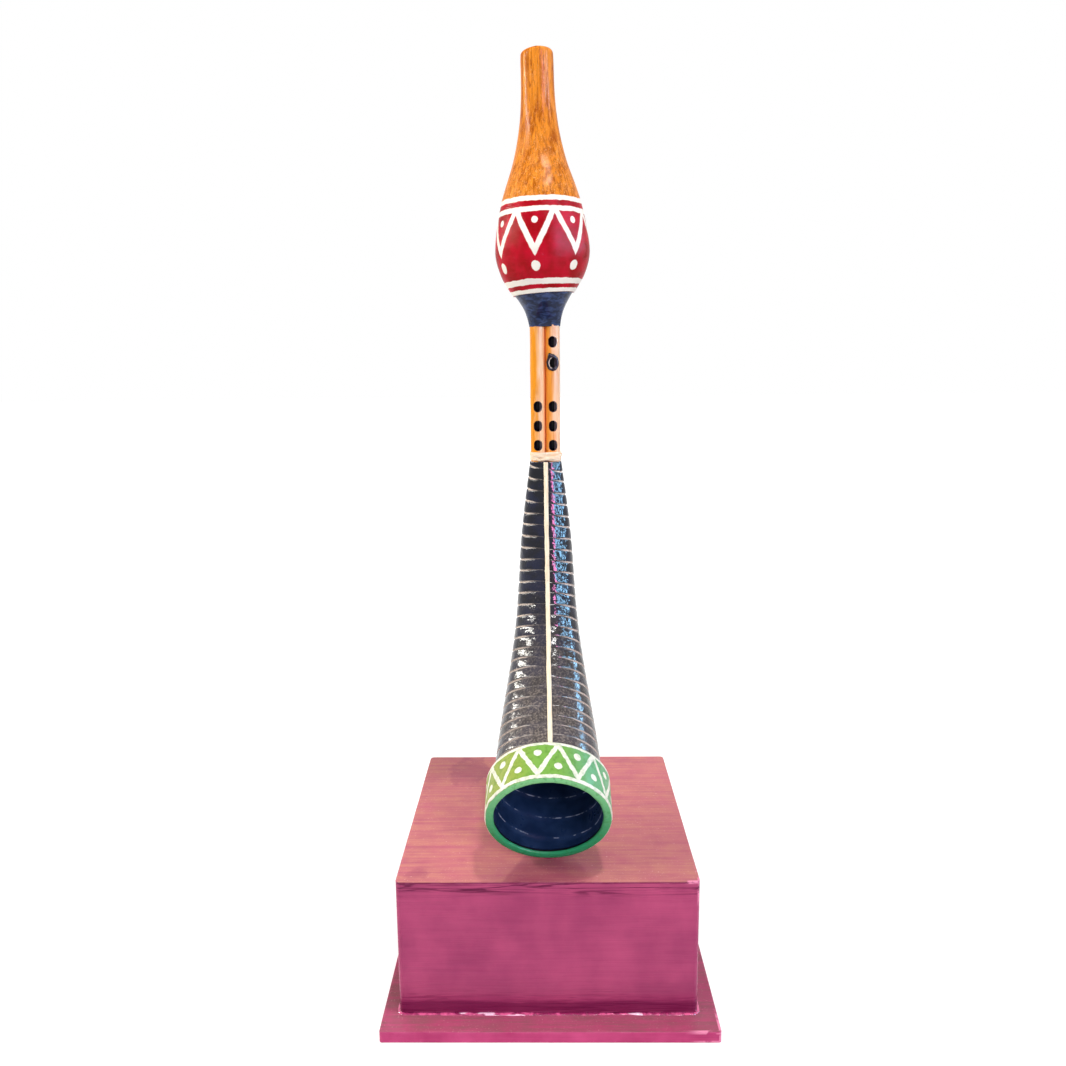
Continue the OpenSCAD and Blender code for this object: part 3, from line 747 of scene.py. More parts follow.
# Bell hoop
# A bent wooden hoop slipped over the horn's mouth, with a lip that covers the leaf's ends.
# It is painted green by hand, with white edge lines, a white zigzag and a dot in every triangle.
hoop_w = 14.9 * mm
hoop_edge = 0.7 * mm
hoop_fit = 0.06 * mm
bore_on_map = 2
reach_step = 0.4 * mm
reach_steps = 80
hoop_sides = 144
lip_bore = horn_half(leaf_len)[0] - wall
bell_front = frontward(horn_len)
bell_back = Vector((0, math.sin(bell_tilt), math.cos(bell_tilt)))


def horn_reach(back, angle):
    """How far the wound horn stands out from the hoop's axis, at a distance back from the mouth."""
    before = (0.0, horn_half(horn_len)[0])
    for i in range(1, reach_steps):
        s = horn_len - i * reach_step
        away = round_horn(s, horn_half(s), angle) - bell_mouth
        depth = away.dot(bell_back)
        reach = (away - depth * bell_back).length
        if depth >= back:
            return before[1] + (reach - before[1]) * (back - before[0]) / (depth - before[0])
        before = (depth, reach)
    return before[1]


hand_cut = 0.05
bends = [math.radians(d) for d in (0, 30, 60, 90)]
hoop_profile = [
    (hoop_w - hoop_edge * (1 - math.cos(b)), hoop_r - hoop_edge * (1 - math.sin(b)), hand_cut) for b in bends]
hoop_profile += [
    (hoop_edge + (hoop_w - 2 * hoop_edge) * (1 - i / 9), hoop_r, hand_cut) for i in range(1, 9)]
hoop_profile += [
    (hoop_edge * (1 - math.sin(b)), hoop_r - hoop_edge * (1 - math.cos(b)), hand_cut) for b in bends]
lip_width = hoop_r - hoop_edge - lip_bore
hoop_profile += [
    (-0.08 * mm, lip_bore + lip_width * 0.7, hand_cut), (-0.08 * mm, lip_bore + lip_width * 0.4, 0.1),
    (0.05 * mm, lip_bore + lip_width * 0.12, 0.3), (0.4 * mm, lip_bore, 0.35), (hoop_lip, lip_bore, 0.1)]
bore_stops = [hoop_lip + (hoop_w - hoop_lip) * i / 5 for i in range(6)]
hoop_profile += [(back, None, 0.0) for back in bore_stops]
hoop_rings, hoop_along, walked = [], [], 0.0
for index, (back, r, ragged) in enumerate(hoop_profile):
    if index and r:
        walked += math.hypot(back - hoop_profile[index - 1][0], r - hoop_profile[index - 1][1])
    ring = []
    for k in range(hoop_sides):
        a = k * math.tau / hoop_sides
        wave = abs(noise.noise(Vector((3.2 * math.sin(a), 3.2 * math.cos(a), back / (6 * mm))))) * ragged * mm
        reach = r - wave if r else horn_reach(back, a) + hoop_fit
        out = Vector((math.sin(a), 0, 0)) + math.cos(a) * bell_front
        ring.append(bell_mouth + bell_back * back + reach * out)
    hoop_rings.append(ring)
    hoop_along.append(walked / mm if r else walked / mm + bore_on_map + 0.1 * index)

painted_stroke, taken, given = effect(
    "painted_stroke",
    {"Place": "Vector", "Off Line": "Float", "Half Width": "Float", "Raggedness": "Float"},
    {"Mask": "Float"})
shaky = grain(taken["Place"], 1.9 * mm)
shaken = (shaky - 0.5) * taken["Raggedness"] + abs(taken["Off Line"])
inked = ramp(taken["Half Width"] - shaken, -0.09, 0.09)
inked.into(given["Mask"])


def stroke(place, off_line, half_width, raggedness):
    """A painted line: off_line is how many millimetres the surface lies off its middle."""
    values = {"Place": place, "Off Line": off_line, "Half Width": half_width, "Raggedness": raggedness}
    return placed(painted_stroke, values)[0]


def dot(place, sideways, height, centre, radius, raggedness):
    """A painted dot: sideways and height are millimetres over the surface, and centre is its height."""
    return stroke(place, span(sideways, height - centre), radius, raggedness)


zigzags = 10
zigzag_phase = 9 / 360
zigzag_slant = 0.44
zigzag_arc = math.tau * hoop_r / zigzags / mm
zigzag_start = 1.6
zigzag_rise = 12.3
back_line = 0.9
front_line = 14.6
peak_dots = 10.4
valley_dots = 5.0
hoop_dot_r = 1.3
olive_painted_light = tint(146, 164, 60)
hoop_green = tint(120, 170, 74)
teal_painted_light = tint(104, 174, 120)
lip_painted_shade = tint(40, 152, 102)
lip_painted_light = tint(138, 214, 146)
paint_white = tint(252, 248, 240)
hoop_finish, shader, place = new_finish(
    "hoop_paint", Specular_IOR_Level=0.15, Coat_Weight=0.1, Coat_Roughness=0.12)
hoop_map = wrap_map(place)
spot = split(place)
drift = grain(place, 6 * mm, detail=1.0) - 0.5
across = drift * 0.8 + hoop_map[1]
phase = maths("FRACT", hoop_map[0] * zigzags + zigzags * (1 - zigzag_phase))
from_peak = maths("PINGPONG", phase, 0.5)
zigzag_line = from_peak * (2 * zigzag_rise) + zigzag_start
off_zigzag = (across - zigzag_line) * zigzag_slant
under_peak = from_peak * zigzag_arc
under_valley = (phase - 0.5) * zigzag_arc
white = either(
    stroke(place, across - back_line, 0.95, 0.8), stroke(place, across - front_line, 0.65, 0.8),
    stroke(place, off_zigzag, 0.72, 0.9), dot(place, under_peak, across, peak_dots, hoop_dot_r, 0.9),
    dot(place, under_valley, across, valley_dots, hoop_dot_r, 0.9))
strokes = grain(place, 1.6 * mm, detail=4.0)
# The green is painted olive on the left and teal on the right: painted warm and cool light
green = mixed(ramp(spot[0], -14 * mm, -2 * mm), olive_painted_light, hoop_green)
green = mixed(ramp(spot[0], 2 * mm, 17 * mm), green, teal_painted_light)
green = mixed(ramp(strokes, 0.42, 0.72) * 0.45, green, tint(70, 122, 40))
on_lip = ramp(drift * 0.5 + hoop_map[1], 15.2, 15.5)
# The lip is painted darker low down and lighter at the top: painted shade and light
lip_height = strokes * (14 * mm) + spot[2]
lip_green = mixed(ramp(lip_height, bell_mouth.z - 6 * mm, bell_mouth.z + 28 * mm), lip_painted_shade, lip_painted_light)
lip_green = mixed(ramp(strokes, 0.5, 0.66) * 0.4, lip_green, tint(30, 128, 58))
white = white * (1.0 - on_lip)
thin_white = white * (ramp(strokes, 0.7, 0.4) * 0.32 + 0.56)
colour = mixed(thin_white, mixed(on_lip, green, lip_green), paint_white)
colour = mixed(ramp(hoop_map[1], 18.3, 18.6), colour, lacquer_black)
height = white * 0.6 + strokes
lay_on(shader, colour, ramp(strokes, -1.0, 2.4), height, 0.12 * mm)
dress(skin("hoop", hoop_rings, hoop_along, loop=True), "hoop_paint", ["bell_hoop"], hoop_finish)

# Glue bed under the hoop
# A pat of glue that holds the hoop to the block, pressed out into a low lumpy fillet.
# It is hidden from the front by the bell.
bed_low, bed_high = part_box("bell_glue_bed")
bed_sides = 48
bed_middle = (bed_low + bed_high) / 2
bed_levels = ((0.0, 1.0), (0.12, 1.0), (0.35, 0.93), (0.6, 0.84), (0.8, 0.7), (0.9, 0.4), (0.94, 0.1))
bed_slope = 0.46
bed_thinnest = 0.05 * mm
bed_rings = []
for level, spread in bed_levels:
    ring = []
    for k in range(bed_sides):
        a = k * math.tau / bed_sides
        lump = abs(noise.noise(Vector((math.sin(a), math.cos(a), level)) * 2.2))
        reach = (bed_high.x - bed_low.x) / 2 * spread * (1 - 0.1 * lump)
        spot = Vector((bed_middle.x + reach * math.sin(a), bed_middle.y + reach * math.cos(a), 0))
        spot.z = bed_low.z + (bed_high.z - bed_low.z) * level
        clear = (spot.y - bell_seat.y) * bed_slope
        spot.z = min(spot.z, bed_low.z + max(clear, bed_thinnest))
        ring.append(spot)
    bed_rings.append(ring)
bed_finish, shader, place = new_finish("glue_bed_paint", Coat_Weight=0.3, Coat_Roughness=0.1)
lumps = placed(wet_lumps, {"Place": place, "Size": 500.0})
colour = mixed(lumps["Tone"], bead_dark, bead_pink)
lay_on(shader, colour, ramp(lumps["Height"], -0.4, 2.2), lumps["Height"], 0.3 * mm)
dress(skin("bell_glue", bed_rings), "glue_line", ["bell_glue_bed"], bed_finish)

# Horn seal
# Dark wax pressed in round the shaved pipe ends, inside the top of the horn.
# The solid itself is shown, because nothing of it can be seen from outside.
wax_tones = (tint(18, 30, 60), tint(54, 74, 122))
wax_painted_highlight = tint(238, 216, 206)


def dark_wax(name, size, depth, tones, highlight_mask_of=None):
    made, shader, place = new_finish(name, Specular_IOR_Level=0.02, Coat_Weight=0.4, Coat_Roughness=0.1)
    lumps = placed(wet_lumps, {"Place": place, "Size": size})
    smears = grain(place, (2.5 * mm, 2.5 * mm, 1.2 * mm), detail=5.0, twist=0.8)
    colour = mixed(ramp(smears, 0.38, 0.72), *tones)
    if highlight_mask_of:
        colour = mixed(highlight_mask_of(place), colour, wax_painted_highlight)
    lay_on(shader, colour, ramp(lumps["Height"], -0.3, 1.5), lumps["Height"], depth)
    return made


def show_solid(label, finish):
    """Shows the solid of a CAD node itself, with a finish."""
    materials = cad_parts[label].data.materials
    materials.clear()
    materials.append(finish)


show_solid("horn_seal", dark_wax("seal_wax", 600.0, 0.2 * mm, wax_tones))

# Pipes
# Two straight lengths of thin bamboo side by side, bored through, shaved at the foot and varnished.
# Oval finger holes are burnt through the front walls; the right pipe has two more above them.
pipe_r = 2.75 * mm
pipe_bore_r = 1.85 * mm
pipe_apart = 5.55 * mm
tenon_r = 2.35 * mm
tenon_len = 9 * mm
pipe_top = 64.4 * mm
pipe_wander = 0.14 * mm
touch = 0.04 * mm
hole_half_w = 1.4 * mm
hole_spread = 0.5 * mm
finger_heights = [(6 + 7.1 * i) * mm for i in range(3)]
tuning_height = 36 * mm
upper_height = 43.5 * mm
pipe_sides = 64


def ways_round(sides):
    """Directions round an upright piece, from the front and going right."""
    turns = [k * math.tau / sides for k in range(sides)]
    return [Vector((math.sin(a), -math.cos(a), 0)) for a in turns]


def pipe_ring(side, r, z, wander):
    """A ring round a pipe; bamboo is never quite round or straight."""
    ring = []
    for way in ways_round(pipe_sides):
        uneven = noise.noise(Vector((way.x + 3 * side, way.y, z / (14 * mm))) * 1.4)
        inner = ease(share_of(-side * way.x, 0.7, 1.0))
        reach = r - wander * abs(uneven) * (1 - inner) + (touch * inner if wander else 0.0)
        ring.append(horn_top + Vector((side * pipe_apart / 2, 0, z)) + way * reach)
    return ring


def oval_cutter(x, z):
    """A solid that cuts an oval hole through the front wall of a pipe."""
    rings = []
    for y in (0.4 * mm, -2 * pipe_r):
        ring = []
        for k in range(36):
            a = (k + 0.5) * math.tau / 36
            lift = hole_spread if math.sin(a) > 0 else -hole_spread
            off = Vector((x + hole_half_w * math.cos(a), y, z + lift + hole_half_w * math.sin(a)))
            ring.append(horn_top + off)
        rings.append(ring)
    return skin("cutter", rings)


def burnt_holes(piece, x, heights):
    """Cuts a row of finger holes, one after another, and leaves a plain mesh."""
    for z in heights:
        cutter = oval_cutter(x, z)
        cut = piece.modifiers.new("hole", "BOOLEAN")
        cut.operation = "DIFFERENCE"
        cut.solver = "EXACT"
        cut.object = cutter
        bpy.context.view_layer.update()
        holed = bpy.data.meshes.new_from_object(piece.evaluated_get(bpy.context.evaluated_depsgraph_get()))
        piece.modifiers.clear()
        piece.data = holed
        bpy.data.objects.remove(cutter)
    piece.data.shade_smooth()
    piece.data.set_sharp_from_angle(angle=math.radians(40))


def bamboo_varnish(name, x, heights, light, deep):
    made, shader, place = new_finish(name, Specular_IOR_Level=0.1, Coat_Weight=0.1, Coat_Roughness=0.1)
    spot = split(place)
    sideways = spot[0] - x
    backward = spot[1] - horn_top.y
    fibres = grain(place, (0.35 * mm, 0.35 * mm, 14 * mm), detail=4.0)
    washes = grain(place, (2.2 * mm, 2.2 * mm, 16 * mm), twist=0.6)
    # Each pipe is painted paler on its right than on its left: painted light, broken up by washes
    painted_light_across = sideways + washes * (6 * mm) - 3 * mm
    colour = mixed(ramp(painted_light_across, -1.6 * mm, 1.4 * mm), deep, light)
    colour = mixed(ramp(fibres, 0.48, 0.7) * 0.5, colour, tint(206, 112, 36))
    # The bore is painted near-black as shade, with a charred ring round each hole on the front; inside, the
    # right side is painted pale as a highlight
    charred_and_shaded = ramp(span(sideways, backward), pipe_r - 0.16 * mm, pipe_r - 0.26 * mm)
    for z in heights:
        lift = maths("MAXIMUM", abs(spot[2] - (horn_top.z + z)) - hole_spread, 0.0)
        off = span(sideways, lift) + fibres * (0.2 * mm)
        rim = ramp(off, hole_half_w + 0.3 * mm, hole_half_w + 0.18 * mm)
        charred_and_shaded = either(charred_and_shaded, rim * ramp(backward, 0.0, -1 * mm))
    groove_shade = ramp(abs(spot[0]), 0.8 * mm, 0.1 * mm)
    colour = mixed(groove_shade * 0.8, colour, tint(240, 140, 70))
    painted_lit_wall = ramp(sideways, 0.45 * mm, 0.75 * mm)
    charred_shade_and_highlight = mixed(painted_lit_wall * ramp(backward, 0.0, 0.4 * mm), tint(22, 17, 34), tint(236, 214, 232))
    colour = mixed(charred_and_shaded, colour, charred_shade_and_highlight)
    lay_on(shader, colour, fibres * 0.2 + 0.22, washes * 0.8 + fibres, 0.12 * mm)
    return made


pipe_levels = [-tenon_len, -0.5 * tenon_len, -0.01 * mm]
shaft_levels = [pipe_top * i / 44 for i in range(45)]
right_heights = finger_heights + [tuning_height, upper_height]
pipes = (
    (-1, "left_pipe", finger_heights, tint(255, 212, 166), tint(244, 156, 34)),
    (1, "right_pipe", right_heights, tint(255, 208, 170), tint(246, 158, 58)))
for side, label, heights, light, deep in pipes:
    rings = [pipe_ring(side, tenon_r, z, 0.0) for z in pipe_levels]
    rings += [pipe_ring(side, pipe_r, z, pipe_wander) for z in shaft_levels]
    rings += [pipe_ring(side, pipe_bore_r, z, 0.0) for z in (pipe_top, 0.5 * pipe_top, 0.0, -tenon_len)]
    bamboo = skin(label + "_bamboo", rings, loop=True)
    burnt_holes(bamboo, side * pipe_apart / 2, heights)
    finish = bamboo_varnish(label + "_varnish", side * pipe_apart / 2, heights, light, deep)
    dress(bamboo, "pipe_bamboo", [label], finish)

# Tuning wax
# A worm of dark wax pressed round the right pipe's tuning hole with a fingertip, drawn to a point at the top.
# It narrows the hole to tune the pipe.
wax_path_w = 1.75 * mm
wax_path_h = 2.35 * mm
wax_point = 1.0 * mm
wax_point_at = math.radians(112)
wax_point_spread = 0.3
wax_thick = 0.62 * mm
wax_flat = 0.8
wax_bed = 0.1 * mm
wax_steps = 64


def round_section(hub, across, out, sides):
    """A ring round a worm of wax or a thread, from its half-widths across and outward."""
    turns = [k * math.tau / sides for k in range(sides)]
    return [hub + math.cos(b) * across + math.sin(b) * out for b in turns]


wax_rings = []
for i in range(wax_steps):
    t = i * math.tau / wax_steps
    turn = math.atan2(math.sin(t - wax_point_at), math.cos(t - wax_point_at))
    pull = math.exp(-((turn / wax_point_spread) ** 2))
    uneven = 0.07 * noise.noise(Vector((2 * math.cos(t), 2 * math.sin(t), 5)))
    stretch = 1 + 0.4 * pull * wax_point / wax_path_h + uneven
    aside, up = wax_path_w * stretch * math.cos(t), wax_path_h * stretch * math.sin(t)
    swing = aside / pipe_r
    out = Vector((math.sin(swing), -math.cos(swing), 0))
    hub = horn_top + Vector((pipe_apart / 2, 0, tuning_height + up)) + out * (pipe_r + wax_bed)
    away = Vector((math.cos(t) * math.cos(swing), math.cos(t) * math.sin(swing), math.sin(t)))
    thick = wax_thick * (1 + 0.6 * pull + 0.25 * noise.noise(Vector((3 * math.cos(t), 3 * math.sin(t), 9))))
    wax_rings.append(round_section(hub, thick * away, wax_flat * thick * out, 12))
tuning_hole = horn_top + Vector((pipe_apart / 2, 0, tuning_height))


def painted_rim_highlight(place):
    """The left half of the wax's inner rim, painted pale as a highlight."""
    spot = offset(place, tuning_hole)
    off = span(spot[0], spot[2] * 0.74)
    arc = ramp(abs(off - 1.3 * mm), 0.24 * mm, 0.1 * mm)
    return arc * ramp(spot[0], 0.1 * mm, -0.5 * mm)


tuning_tones = (tint(16, 14, 30), tint(44, 38, 62))
tuning_finish = dark_wax("tuning_wax_finish", 900.0, 0.06 * mm, tuning_tones, painted_rim_highlight)
dress(skin("tuning_ring", wax_rings, loop=True), "black_wax", ["tuning_wax"], tuning_finish)

# Pipe lashing
# One long strand of split cane wound close round both pipes where they enter the horn.
# Its last turns cross over the front and are tucked under themselves beside the splint.
strand_w = 0.96 * mm
strand_t = 0.24 * mm
strand_clear = 0.04 * mm
wound_turns = 4
wound_climb = 0.68 * mm
lashing_steps = 64


def on_pair(share, z, out):
    """A point on the outline round both pipes; share 0 is the middle of the back, and it grows rightward."""
    r = pipe_r + out
    straight, arc = pipe_apart / 2, math.pi * r
    walk = (share % 1.0) * (4 * straight + 2 * arc)
    if walk < straight:
        spot = Vector((walk, r, 0))
    elif walk < straight + arc:
        a = (walk - straight) / r
        spot = Vector((straight + r * math.sin(a), r * math.cos(a), 0))
    elif walk < 3 * straight + arc:
        spot = Vector((straight - (walk - straight - arc), -r, 0))
    elif walk < 3 * straight + 2 * arc:
        a = (walk - 3 * straight - arc) / r
        spot = Vector((-straight - r * math.sin(a), -r * math.cos(a), 0))
    else:
        spot = Vector((walk - 4 * straight - 2 * arc, r, 0))
    return horn_top + spot + Vector((0, 0, z))


def strand(name, route, wide, thick):
    """A flat strand with rounded edges along a route of points, lying against the pipes."""
    section = [
        (-0.5, 0), (-0.47, 0.4), (-0.38, 0.5), (0, 0.56), (0.38, 0.5), (0.47, 0.4), (0.5, 0),
        (0.4, -0.5), (-0.4, -0.5)]
    rings = []
    for i, spot in enumerate(route):
        ahead = (route[min(i + 1, len(route) - 1)] - route[max(i - 1, 0)]).normalized()
        middle = max(-pipe_apart / 2, min(pipe_apart / 2, spot.x))
        out = Vector((spot.x - middle, spot.y - horn_top.y, 0))
        out = (out - ahead * out.dot(ahead)).normalized()
        up = out.cross(ahead)
        size = wide * (1 + 0.14 * noise.noise(spot / (2 * mm)))
        rings.append([spot + size * u * up + thick * v * out for u, v in section])
    return skin(name, rings)


split_cane, shader, place = new_finish("split_cane", Specular_IOR_Level=0.12)
fibres = grain(place, (2 * mm, 2 * mm, 0.16 * mm))
colour = mixed(ramp(fibres, 0.3, 0.7), tint(250, 214, 176), tint(255, 244, 226))
lay_on(shader, colour, ramp(fibres, -1.0, 2.0), fibres, 0.08 * mm)

wound_route = [
    on_pair(i / lashing_steps, strand_w / 2 + wound_climb * i / lashing_steps, strand_t / 2 + strand_clear)
    for i in range(wound_turns * lashing_steps + 1)]
lashing = strand("lashing", wound_route, strand_w, strand_t)
dress(lashing, "lashing_cane", ["pipe_lashing"], split_cane)
wound_high = wound_turns * wound_climb + strand_w / 2
# Each crossing: its start as a share round the pipes, its height there, its end and its height there
crossings = (
    (0.24, wound_high - 0.1 * mm, 0.76, wound_high - 0.3 * mm),
    (0.76, wound_high - 0.4 * mm, 0.3, 0.9 * mm),
    (0.24, wound_high - 0.7 * mm, 0.6, 0.7 * mm))
for index, (start, high, end, low) in enumerate(crossings):
    route = []
    for i in range(33):
        t = i / 32
        over = strand_clear + (1.5 + 0.9 * index) * strand_t
        tucked = (1 - math.sin(math.pi * t)) ** 4 * (0.9 + 0.9 * index) * strand_t
        route.append(on_pair(start + (end - start) * t, high + (low - high) * ease(t), over - tucked))
    cross = strand("lashing_cross_%d" % (index + 1), route, 0.95 * strand_w, strand_t)
    cross.data.materials.append(split_cane)
    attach(cross, carrier)

# Wax collar
# Dark wax moulded by hand from the pipes up to the gourd's foot, which it holds and seals.
# Finger smears mark it, and its lower edge is ragged where it was pinched off on the pipes.
collar_z = 49.1 * mm
collar_h = 11.3 * mm
collar_taper = 0.25
collar_foot = (5.64 * mm, 2.87 * mm)
collar_top_r = 10.4 * mm
gourd_lean = math.radians(-1.3)
foot_slant = 0.04
collar_lumps = 0.2 * mm
collar_smears = 0.1 * mm
collar_fray = 0.35 * mm
collar_steps = 26
collar_sides = 72
leaning = Matrix.Translation(horn_top + Vector((0, 0, collar_z))) @ Matrix.Rotation(gourd_lean, 4, "Y")
collar_rings = []
for i in range(-1, collar_steps + 1):
    t = max(i, 0) / collar_steps
    wide = collar_foot[0] + (collar_top_r - collar_foot[0]) * t * (collar_taper + (1 - collar_taper) * t)
    deep = collar_foot[1] + (collar_top_r - collar_foot[1]) * ease(t)
    ring = []
    for way in ways_round(collar_sides):
        lump = noise.noise(Vector((2.4 * way.x, 2.4 * way.y, 3.2 * t))) * (1 - t) * collar_lumps
        smear = noise.noise(Vector((9 * way.x, 9 * way.y, 7 * t))) * collar_smears
        lump += smear * math.sin(math.pi * min(1, t + 0.15))
        fray = (1 - share_of(t, 0, 0.12)) * collar_fray * noise.noise(Vector((7 * way.x, 7 * way.y, 4)))
        shrink = 0.9 if i < 0 else 1.0
        flank = (wide - deep) * max(-1.0, min(1.0, 3 * way.x))
        spot = Vector((flank + way.x * (deep + lump), way.y * (deep + lump), 0)) * shrink
        spot.z = collar_h * t + fray + foot_slant * spot.x * t * t
        ring.append(leaning @ spot)
    collar_rings.append(ring)
collar_wax = dark_wax("collar_wax", 330.0, 0.16 * mm, wax_tones)
dress(skin("collar", collar_rings), "black_wax", ["wax_collar"], collar_wax)

# Gourd
# A dried gourd cut open at its neck and foot, scraped, varnished and painted round its bulb.
# The band is crimson with white lines, hanging points and dots; above it the shell shows pores and streaks.
gourd_h = 82.5 * mm
gourd_foot_r = 11.2 * mm
neck_lip = 1.6 * mm
blow_bore_r = 2.5 * mm
gourd_wall = 2.6 * mm
gourd_mouth_r = 7.6 * mm
gourd_uneven = 0.14 * mm
lip_wear = 0.5 * mm
gourd_sides = 128
gourd_outline = smooth_curve([
    (0, gourd_foot_r), (6.9 * mm, 15.2 * mm), (15.2 * mm, 17 * mm), (31.7 * mm, 14.2 * mm),
    (47.6 * mm, 8.95 * mm), (62.5 * mm, 6.3 * mm), (gourd_h, 5.7 * mm)])
shell_top = gourd_h - neck_lip
profile = [(gourd_outline(h), h, h) for h in [shell_top * i / 84 for i in range(84)]]
for degrees in (0, 15, 30, 45, 60, 75, 90):
    bow = math.radians(degrees)
    r = gourd_outline(gourd_h) - neck_lip * (1 - math.cos(bow))
    profile.append((r, shell_top + neck_lip * math.sin(bow), gourd_h))
unpainted = 90 * mm
profile.append((blow_bore_r + 0.5 * mm, gourd_h - 0.05 * mm, gourd_h))
profile.append((blow_bore_r, gourd_h - 0.6 * mm, unpainted))
chamber = [(gourd_outline(h) - gourd_wall, h) for h in [gourd_h * (1 - i / 60) for i in range(60)]]
chamber = [(r, h, unpainted) for r, h in chamber if r > blow_bore_r + 1.0 * mm and h > gourd_wall]
profile += [(blow_bore_r, chamber[0][1] + 1.5 * mm, unpainted)] + chamber
profile += [(gourd_mouth_r, gourd_wall, unpainted), (gourd_mouth_r, 0.0, unpainted)]
gourd_rings, gourd_along = [], []
for r, h, mark in profile:
    ring = []
    for way in ways_round(gourd_sides):
        uneven = noise.noise(Vector((1.1 * way.x, 1.1 * way.y, h / (16 * mm)))) * gourd_uneven
        worn = lip_wear * share_of(h, gourd_h - 4 * mm, gourd_h) * max(0.0, -way.x) if r > 4 * mm else 0.0
        slant = foot_slant * way.x * r * (1 - share_of(h, 0, 9 * mm))
        reach = r - abs(uneven) * share_of(r, 3 * mm, 5 * mm)
        ring.append(leaning @ (way * reach + Vector((0, 0, collar_h + h - worn + slant))))
    gourd_rings.append(ring)
    gourd_along.append(mark / mm)

points = 7
point_phase = -8.8 / 360
point_arc_high = math.tau * 15.8 / points
point_arc_low = math.tau * 16 / points
point_tip = 13.9
point_rise = 14.2
point_slant = 0.42
band_lines = ((31.2, 0.85), (27.6, 0.85), (3.6, 0.92), (0.4, 0.9))
high_dots = 23.9
low_dots = 8.75
gourd_finish, shader, place = new_finish(
    "gourd_shell", Specular_IOR_Level=0.01, Coat_Weight=0.17, Coat_Roughness=0.12)
gourd_map = wrap_map(place)
sway = grain(place, (7 * mm, 7 * mm, 9 * mm), detail=1.0) - 0.5
up = sway * 0.9 + gourd_map[1]
phase = maths("FRACT", gourd_map[0] * points + (points * (1 - point_phase) + 0.5))
phase = sway * 0.05 + (phase - 0.5)
point_line = abs(phase) * (2 * point_rise) + point_tip
off_point = (up - point_line) * point_slant
white = either(
    *[stroke(place, up - line, half_width, 0.6) for line, half_width in band_lines],
    stroke(place, off_point, 0.9, 0.5) * ramp(up, 28.0, 27.6),
    dot(place, phase * point_arc_high, up, high_dots, 1.15, 0.6),
    dot(place, phase * point_arc_low, up, low_dots, 1.65, 0.8))
painted = ramp(up, 32.1, 31.8)
hairs = grain(place, (5 * mm, 5 * mm, 0.32 * mm))
washes = grain(place, 6 * mm)
crimson = mixed(ramp(washes, 0.32, 0.68), tint(158, 0, 10), tint(198, 6, 40))
crimson = mixed(ramp(hairs, 0.55, 0.75) * 0.2, crimson, tint(216, 24, 52))
streaks = grain(place, (1.0 * mm, 1.0 * mm, 24 * mm), detail=5.0, twist=0.5)
clouds = grain(place, (6 * mm, 6 * mm, 12 * mm), detail=4.0, twist=0.8)
shell = mixed(ramp(streaks, 0.3, 0.7), tint(172, 84, 0), tint(244, 150, 42))
shell = mixed(ramp(clouds, 0.45, 0.75) * 0.5, shell, tint(252, 164, 88))
long_pores = ramp(grain(place, (0.36 * mm, 0.36 * mm, 3 * mm), detail=2.0, twist=0.5), 0.58, 0.68)
short_pores = ramp(grain(place, (0.5 * mm, 0.5 * mm, 0.9 * mm), detail=2.0, twist=1.0), 0.55, 0.65)
pale_flecks = ramp(grain(place, (0.55 * mm, 0.55 * mm, 1.1 * mm), detail=2.0, twist=1.5), 0.57, 0.66)
neck = ramp(up, 44.0, 60.0)
pores = mixed(neck, short_pores, long_pores)
shell = mixed(pores * (neck * 0.2 + 0.54), shell, tint(146, 54, 4))
shell = mixed(pale_flecks * (0.65 - neck * 0.35), shell, tint(255, 188, 114))
colour = mixed(white, mixed(painted, shell, crimson), paint_white)
height = white * 0.5 + hairs * (painted * 1.9 + 0.3) - pores * 0.4
lay_on(shader, colour, washes * 0.2 + 0.2, height, 0.05 * mm)
dress(skin("gourd_shell", gourd_rings, gourd_along, loop=True), "gourd_shell", ["gourd"], gourd_finish)

# Reeds, tongues and threads
# A cane tube in the top of each pipe has a tongue cut free along its side, and thread bound over its root.
# They beat inside the gourd, so the solids are shown, apart from the thread, which is wound here.
bare_cane, shader, place = new_finish("bare_cane", Coat_Weight=0.05, Coat_Roughness=0.3)
fibres = grain(place, (0.2 * mm, 0.2 * mm, 6 * mm), detail=4.0)
colour = mixed(ramp(fibres, 0.3, 0.7), tint(176, 138, 74), tint(226, 196, 128))
lay_on(shader, colour, ramp(fibres, -0.8, 1.6), fibres, 0.06 * mm)
for label in ("left_reed", "right_reed", "left_tongue", "right_tongue"):
    show_solid(label, bare_cane)

red_thread, shader, place = new_finish("red_thread", Sheen_Weight=0.4)
plies = grain(place, (0.3 * mm, 0.3 * mm, 0.12 * mm), detail=2.0)
colour = mixed(ramp(plies, 0.3, 0.7), tint(112, 24, 20), tint(182, 58, 44))
lay_on(shader, colour, ramp(plies, -2.0, 1.4), plies, 0.08 * mm)
thread_r = 0.16 * mm
thread_pitch = 2.05 * thread_r
thread_slack = 0.07 * mm
thread_turn_steps = 28
for label in ("left_thread", "right_thread"):
    low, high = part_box(label)
    middle = (low + high) / 2
    wind_r = (high.x - low.x) / 2 - thread_r + thread_slack
    winds = int((high.z - low.z - 2 * thread_r) / thread_pitch)
    rings = []
    ways = ways_round(thread_turn_steps)
    for i in range(winds * thread_turn_steps + 1):
        way = ways[i % thread_turn_steps]
        rise = thread_r + thread_pitch * i / thread_turn_steps
        hub = Vector((middle.x, middle.y, low.z + rise)) + way * wind_r
        rings.append(round_section(hub, thread_r * way, Vector((0, 0, thread_r)), 8))
    dress(skin(label + "_winding", rings), "reed_thread", [label], red_thread)

